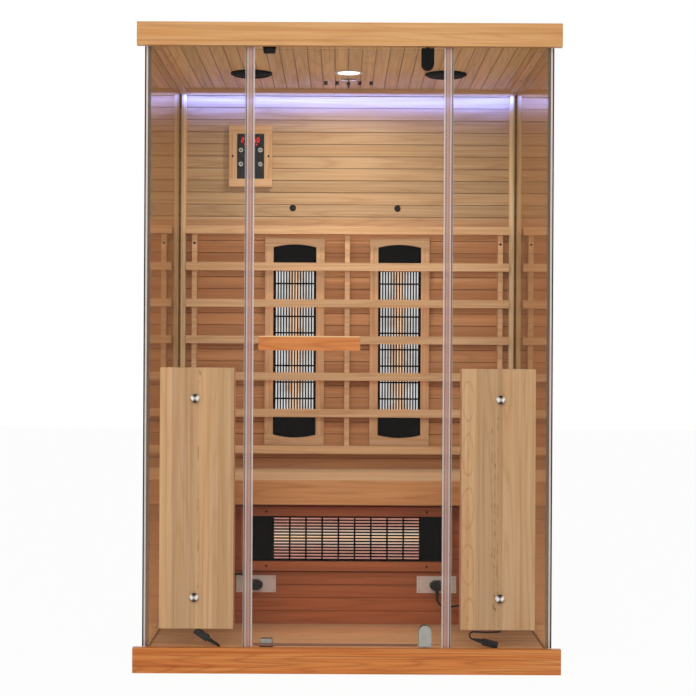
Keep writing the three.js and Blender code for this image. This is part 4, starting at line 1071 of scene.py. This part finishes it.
def spread_out(model, places, body="cabin"):
    """Copies of a model, each shifted by its own step, in place of the model."""
    for index, step in enumerate(places, 1):
        copy = model.copy()
        copy.data = model.data.copy()
        copy.name = copy.data.name = f"{model.name}_{index}"
        copy.data.transform(Matrix.Translation(Vector(step)))
        scene.collection.objects.link(copy)
        fix(copy, body)
    print(f"{model.name}: {len(places)} copies")
    bpy.data.objects.remove(model)


# %% [markdown]
# ## Trims and battens
# Corner trims close the back wall against the side glass, and battens hold that glass at the ceiling.
# They are plain planed strips, so a block with eased edges is enough, set between faces of the CAD.

# %% Corner trims and battens
TRIM_GAP, TRIM_WIDE = 0.0042, 0.017
BATTEN_GAP, BATTEN_WIDE, BATTEN_TALL = 0.0005, 0.0195, 0.012
wall_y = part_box("back_wall_boards")[0].y
seat_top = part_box("bench_seat")[1].z
cove_front, cove_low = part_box("light_cove")[0].yz
ceiling_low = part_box("ceiling_panel")[0].z
glass_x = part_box("side_glass_right")[0].x
door_low, door_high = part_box("door_glass")
front_y, glass_back = door_low.y, door_high.y


def across(sign, near, far):
    """Two distances from the middle as a low and a high x on one side."""
    return sorted((sign * near, sign * far))


for side, sign in SIDES:
    low_x, high_x = across(sign, glass_x - TRIM_GAP, glass_x - TRIM_GAP - TRIM_WIDE)
    trim = block(f"corner_trim_{side}", (low_x, wall_y - TRIM_WIDE, seat_top), (high_x, wall_y, cove_low),
                 0.002, trim_wood)
    fix(trim)
    low_x, high_x = across(sign, glass_x - BATTEN_GAP, glass_x - BATTEN_GAP - BATTEN_WIDE)
    batten = block(f"ceiling_batten_{side}", (low_x, glass_back + 0.004, ceiling_low - BATTEN_TALL),
                   (high_x, cove_front - 0.001, ceiling_low), 0.002, batten_wood)
    fix(batten)
    print(trim.name, "and", batten.name)

# %% [markdown]
# ## Screws
# Dark screws hold the frames and battens, and plated ones the sockets. Their slots could be cut, but
# they are too fine to show, so each head is turned from a few rings, and one model serves each kind.

# %% Screws
PLATE_INSET, CONTROL_INSET = 0.007, 0.013
UPRIGHT_SCREW = (0.529, 1.312)
CALF_SCREW_X, CALF_SCREW_Z = 0.257, (0.252, 0.426)
BATTEN_SCREW_IN, BATTEN_SCREW_Y = 0.0102, (-0.4, -0.12, 0.16, 0.4)


def screw(name, heading, radius, material):
    """A low domed screw head."""
    rings = [(radius, 0), (radius, 0.0004), (radius * 0.72, 0.0011), (radius * 0.3, 0.0013)]
    return turned(name, (0, 0, 0), heading, rings, material, 20)


upright_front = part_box("backrest_rack")[0].y + 0.018
spread_out(screw("upright_screw", "-Y", 0.0042, dark_screw),
           [(sign * UPRIGHT_SCREW[0], upright_front, UPRIGHT_SCREW[1]) for _, sign in SIDES])
frame_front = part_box("calf_heater_frame")[0].y
spread_out(screw("calf_screw", "-Y", 0.0036, dark_screw),
           [(sign * CALF_SCREW_X, frame_front, z) for _, sign in SIDES for z in CALF_SCREW_Z])
control_low, control_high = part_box("control_frame")
control_mid = middle("control_frame")
spread_out(screw("control_screw", "-Y", 0.0038, dark_screw),
           [(x, control_low.y, control_mid.z)
            for x in (control_low.x + CONTROL_INSET, control_high.x - CONTROL_INSET)])
plate_low, plate_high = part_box("socket_plate_right")
spread_out(screw("plate_screw", "-Y", 0.0026, zinc),
           [(sign * x, plate_low.y, z) for _, sign in SIDES
            for x in (plate_low.x + PLATE_INSET, plate_high.x - PLATE_INSET)
            for z in (plate_low.z + PLATE_INSET, plate_high.z - PLATE_INSET)])
spread_out(screw("batten_screw", "-Z", 0.003, dark_screw),
           [(sign * (glass_x - BATTEN_SCREW_IN), y, ceiling_low - BATTEN_TALL)
            for _, sign in SIDES for y in BATTEN_SCREW_Y])

# %% [markdown]
# ## Studs and bolts
# Black studs cover the wall's fixings, and bright bolts clamp the front heaters to the glass. Both are
# turned, and the bolt's last rings step down into a shallow dish.

# %% Studs and bolts
STUD_RINGS = [(0.0095, 0), (0.0112, 0.0004), (0.0112, 0.002), (0.0098, 0.0036), (0.006, 0.0046),
              (0.001, 0.005)]
BOLT_RINGS = [(0.0128, 0), (0.0128, 0.0012), (0.0112, 0.0026), (0.0112, 0.006), (0.0098, 0.0078),
              (0.0055, 0.0086), (0.005, 0.0076), (0.0012, 0.0074)]
STUD_X, STUD_Z = (-0.191, 0.1735), 1.438
spread_out(turned("wall_stud", (0, wall_y, 0), "-Y", STUD_RINGS, black_plastic),
           [(x, 0, STUD_Z) for x in STUD_X])
spread_out(turned("glass_bolt", (0, front_y, 0), "-Y", BOLT_RINGS, chrome, 40),
           [(sign * BOLT_X, 0, z) for _, sign in SIDES for z in BOLT_Z])

# %% [markdown]
# ## Reflectors
# Behind each guard a bright sheet throws the heat of the tube into the cabin. A flat sheet would look
# dull, so it curves into the cabin along both long edges, by a formula on a grid. The sheet is no lamp,
# but it carries a painted glow: an emission, in one colour along the middle and one at the sides,
# stands in for the light of its tube on the polished metal.

# %% Reflectors
HALF_WIDE, HALF_LONG = 0.07, 0.25
CALF_HALF = 0.245
CURVE = 0.012
GRID_STEPS, SHEET_THICK = 12, 0.0008
# colours of the painted glow on the reflectors
PEACH, WHITE = rgb("ffcba3"), rgb("ffffff")
CREAM, ROSE = rgb("ffe8cf"), rgb("e29a88")


def reflector_painted_glow(name, axis, centre, inner, outer):
    """A polished sheet with a painted glow of its tube: one colour along the middle, one at the sides."""
    f = Finish(name)
    xyz = f.add("SeparateXYZ", f.place()).outputs
    off = f.math("ABSOLUTE", f.math("DIVIDE", f.math("SUBTRACT", xyz[axis], centre), HALF_WIDE))
    patch = f.noise(f.stretch(f.place(), (22, 1, 22)), 1.0, 4.0)
    painted_glow_middle = f.spread(f.math("MULTIPLY_ADD", patch, 0.8, off), 0.5, 0.95, 1.0, 0.0)
    level = f.spread(patch, 0.3, 0.7, 0.68, 0.92)
    # painted glow: the sheet gives light of its own, for the tube's light on it
    shine = f.add("Emission", f.mix(painted_glow_middle, outer, inner), level).outputs[0]
    sheet = f.principled(Base_Color=rgb("e8e4dc"), Metallic=0.9, Roughness=0.25)
    return f.surface(f.add("MixShader", 0.15, shine, sheet).outputs[0])


def reflector(name, centre, half_x, half_z, material, curve):
    """A sheet that curves along both long edges, towards the front or, if negative, the back."""
    bpy.ops.object.select_all(action="DESELECT")
    bpy.ops.mesh.primitive_grid_add(x_subdivisions=GRID_STEPS, y_subdivisions=GRID_STEPS, size=2)
    obj = bpy.context.object
    obj.scale = (half_x, half_z, 1)
    obj.rotation_euler = (math.pi / 2, 0, 0)
    obj.location = centre
    bpy.ops.object.transform_apply(location=True, rotation=True, scale=True)
    short, half = (2, half_z) if half_x > half_z else (0, half_x)
    for vertex in obj.data.vertices:
        vertex.co.y -= curve * ((vertex.co[short] - centre[short]) / half) ** 2
    sheet = obj.modifiers.new("thickness", "SOLIDIFY")
    sheet.thickness = SHEET_THICK
    bpy.ops.object.modifier_apply(modifier="thickness")
    fix(settle(obj, name, material))
    print(name, "at", tuple(round(value, 3) for value in centre))


BACK_X, BACK_Z = 0.182, 0.975
FRONT_X, FRONT_Z = 0.443, 0.508
front_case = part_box("front_heater_right_case")[1].y
calf_front, calf_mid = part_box("calf_heater_case")[0].y, middle("calf_heater_case").z
for side, sign in SIDES:
    face = reflector_painted_glow(f"{side} reflector", 0, sign * BACK_X, PEACH, WHITE)
    reflector(f"back_reflector_{side}", (sign * BACK_X, wall_y + 0.04, BACK_Z), HALF_WIDE, HALF_LONG, face,
              CURVE)
for side, sign in SIDES:
    face = reflector_painted_glow(f"front {side} reflector", 0, sign * FRONT_X, PEACH, WHITE)
    reflector(f"front_reflector_{side}", (sign * FRONT_X, front_case - 0.04, FRONT_Z), HALF_WIDE, HALF_LONG,
              face, -CURVE)
face = reflector_painted_glow("calf reflector", 2, calf_mid, CREAM, ROSE)
reflector("calf_reflector", (0, calf_front + 0.04, calf_mid), CALF_HALF, HALF_WIDE, face, CURVE)

# %% [markdown]
# ## Cross wires
# Round wires run across each guard and hold its bars together. They could be one mesh with the guard,
# but one wire, turned with eased ends, serves each kind of heater, and its copies stand at the pitch
# that the photograph shows.

# %% Cross wires
WIRE, WIRE_LONG, WIRE_COUNT = 0.0028, 0.141, 8  # radius, length and number
WIRE_PITCH, CALF_PITCH = 0.0571, 0.0521
wire_steps = [index - (WIRE_COUNT - 1) / 2 for index in range(WIRE_COUNT)]


def wire(name, low_end, heading):
    """A round cross wire with eased ends."""
    thin, ease = WIRE * 0.6, WIRE * 0.5
    ends = [(thin, 0), (WIRE, ease), (WIRE, WIRE_LONG - ease), (thin, WIRE_LONG)]
    return turned(name, low_end, heading, ends, guard_black, 12)


def upright_heaters(x, z):
    """The places of the wires on a left and a right heater."""
    return [(sign * x, 0, z + step * WIRE_PITCH) for _, sign in SIDES for step in wire_steps]


back_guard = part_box("back_heater_left_case")[0].y - WIRE
front_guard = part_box("front_heater_left_box")[1].y + WIRE
spread_out(wire("back_cross_wire", (-WIRE_LONG / 2, back_guard, 0), "+X"),
           upright_heaters(BACK_X, BACK_Z))
spread_out(wire("calf_cross_wire", (0, calf_front - WIRE, calf_mid - WIRE_LONG / 2), "+Z"),
           [(step * CALF_PITCH, 0, 0) for step in wire_steps])
spread_out(wire("front_cross_wire", (-WIRE_LONG / 2, front_guard, 0), "+X"),
           upright_heaters(FRONT_X, FRONT_Z))

# %% [markdown]
# ## Controls
# The display shows two plain numbers in red segments, with two indicator lamps under it. A text object
# would need a font, so each number is laid from two small models, a bar and a post.

# %% Display
SEGMENTS = {"0": "abcdef", "2": "abged", "5": "afgcd", "6": "afgedc"}
DIGITS = {-0.028: "2", -0.0155: "5", 0.0135: "6", 0.026: "0"}  # x from the middle of the panel
DIGIT_WIDTH, DIGIT_HEIGHT, STROKE, DISPLAY_Z = 0.0085, 0.0155, 0.0019, 1.673
LAMP_RINGS = [(0.0022, 0), (0.0022, 0.0005), (0.0014, 0.0012), (0.0003, 0.0014)]
panel_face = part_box("control_panel")[0].y
raised, sunk = panel_face - 0.0006, panel_face + 0.0002
bar_half, post_half = DIGIT_WIDTH / 2 - STROKE, DIGIT_HEIGHT / 4 - STROKE / 2
bar = block("digit_bar", (-bar_half, raised, -STROKE / 2), (bar_half, sunk, STROKE / 2), 0.0003, red_glow, 1)
post = block("digit_post", (-STROKE / 2, raised, -post_half), (STROKE / 2, sunk, post_half), 0.0003,
             red_glow, 1)
half_width, half_height = DIGIT_WIDTH / 2 - STROKE / 2, DIGIT_HEIGHT / 2
BARS = {"a": (0, half_height), "g": (0, 0), "d": (0, -half_height)}
POSTS = {"f": (-half_width, half_height / 2), "b": (half_width, half_height / 2),
         "e": (-half_width, -half_height / 2), "c": (half_width, -half_height / 2)}
bar_places, post_places = [], []
for x, number in DIGITS.items():
    for segment in SEGMENTS[number]:
        table, places = (BARS, bar_places) if segment in BARS else (POSTS, post_places)
        right, up = table[segment]
        places.append((control_mid.x + x + right, 0, DISPLAY_Z + up))
spread_out(bar, bar_places)
spread_out(post, post_places)
indicator = turned("indicator", (control_mid.x, panel_face, 0), "-Y", LAMP_RINGS, red_glow, 16)
spread_out(indicator, [(-0.02, 0, 1.657), (0.02, 0, 1.657)])

# %% [markdown]
# ## Ceiling fittings
# A temperature probe hangs from the ceiling, a dark sheet sits a few millimetres up each vent, and the
# cove hides a strip of violet lamps. The probe is turned. The dark sheet is painted shade: it stands in
# for the shade inside each slot, so the slots look dark from the seat.

# %% Ceiling fittings
PROBE_Y = 0.225
PROBE_RINGS = [(0.026, 0), (0.026, 0.002), (0.024, 0.0042), (0.012, 0.0056), (0.006, 0.0062),
               (0.0036, 0.008), (0.0026, 0.0095), (0.0026, 0.027), (0.0016, 0.029)]
VENT_PITCH, VENT_Y, VENT_HALF_X, VENT_HALF_Y = 0.0385, 0.312, 0.0062, 0.0496
VENT_LOW, VENT_HIGH = ceiling_low + 0.003, ceiling_low + 0.0038
STRIP_END = glass_x - 0.025
probe = turned("probe_disc", (0, PROBE_Y, ceiling_low), "-Z", PROBE_RINGS, chrome)
fix(probe)
# painted shade: a dark sheet a few millimetres up each slot stands in for the shade inside it
screen = block("vent_shade_sheet", (-VENT_HALF_X, VENT_Y - VENT_HALF_Y, VENT_LOW),
               (VENT_HALF_X, VENT_Y + VENT_HALF_Y, VENT_HIGH), 0.0003, vent_painted_shade, 1)
spread_out(screen, [((index - 2) * VENT_PITCH, 0, 0) for index in range(5)])
strip = block("cove_strip", (-STRIP_END, wall_y - 0.012, cove_low - 0.002),
              (STRIP_END, wall_y - 0.004, cove_low), 0.0006, violet_glow)
fix(strip)
print(probe.name, "and", strip.name)

# %% [markdown]
# ## Door fittings
# The door has a catch above and below, a sweep under its lower edge and pads behind its handles. A
# catch narrows towards its end: a block whose far corners are drawn together before the bevel. The
# sweep and the pads ride on the door, so they swing with it.

# %% Door catches, sweep and pads
CATCH_X, CATCH_HALF, CATCH_DEEP, CATCH_NARROW = -0.236, 0.0215, (0.002, 0.024), 0.78
CATCH_LOW, CATCH_HIGH = 0.097, 1.817
SWEEP_INSET, SWEEP_TALL, SWEEP_END = 0.003, 0.0065, 0.2075
PAD_RINGS = [(0.0135, 0), (0.0135, 0.0012), (0.0125, 0.0018), (0.0102, 0.0019)]
PAD_X, PAD_Z = (-0.216, -0.01), 0.964


def catch(name, low_z, high_z, far, material):
    """A block behind the glass whose far end, up (1) or down (-1), is narrower."""
    near_y, far_y = (glass_back + step for step in CATCH_DEEP)
    obj = start_block((CATCH_X - CATCH_HALF, near_y, low_z), (CATCH_X + CATCH_HALF, far_y, high_z))
    bpy.ops.mesh.select_all(action="DESELECT")
    bpy.ops.object.mode_set(mode="OBJECT")
    for vertex in obj.data.vertices:
        vertex.select = vertex.co.z * far > 0
    bpy.ops.object.mode_set(mode="EDIT")
    bpy.ops.transform.resize(value=(CATCH_NARROW, 1, 1))
    bpy.ops.mesh.select_all(action="SELECT")
    bpy.ops.mesh.bevel(offset=0.002, segments=2, affect="EDGES")
    bpy.ops.object.mode_set(mode="OBJECT")
    fix(settle(obj, name, material))


catch("door_catch_top", CATCH_HIGH, ceiling_low, -1, black_enamel)
catch("door_catch_bottom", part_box("floor_panel")[1].z, CATCH_LOW, 1, satin_steel)
sweep = block("door_sweep", (door_low.x + SWEEP_INSET, front_y + 0.0005, door_low.z - SWEEP_TALL),
              (SWEEP_END, glass_back - 0.0005, door_low.z), 0.0012, sweep_plastic)
fix(sweep, "door")
for name, heading, face_y in (("handle_pad", "-Y", front_y), ("inner_pad", "+Y", glass_back)):
    pad = turned(name, (0, 0, PAD_Z), heading, PAD_RINGS, satin_steel)
    spread_out(pad, [(x, face_y, 0) for x in PAD_X], "door")
print("catches, pads and", sweep.name)

# %% [markdown]
# ## Corner strips
# Where the side glass meets the front, a pale bead and a black gasket show as two thin lines. They are
# long strips between the base and the roof, so blocks with eased edges do.

# %% Corner beads and gaskets
BEAD_GAP, BEAD_WIDE, GASKET_WIDE = 0.0004, 0.0054, 0.004
glass_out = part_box("side_glass_right")[1].x
pane_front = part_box("side_glass_right")[0].y
base_top, roof_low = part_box("base_frame")[1].z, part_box("roof_frame")[0].z
bead_out = glass_out + BEAD_GAP + BEAD_WIDE
for side, sign in SIDES:
    low_x, high_x = across(sign, glass_out + BEAD_GAP, bead_out)
    bead = block(f"corner_bead_{side}", (low_x, pane_front - 0.001, base_top),
                 (high_x, pane_front + 0.016, roof_low), 0.0007, white_plastic)
    fix(bead)
    low_x, high_x = across(sign, bead_out, bead_out + GASKET_WIDE)
    gasket = block(f"corner_gasket_{side}", (low_x, pane_front - 0.002, base_top),
                   (high_x, pane_front + 0.014, roof_low), 0.001, black_plastic)
    fix(gasket)
    print(bead.name, "and", gasket.name)
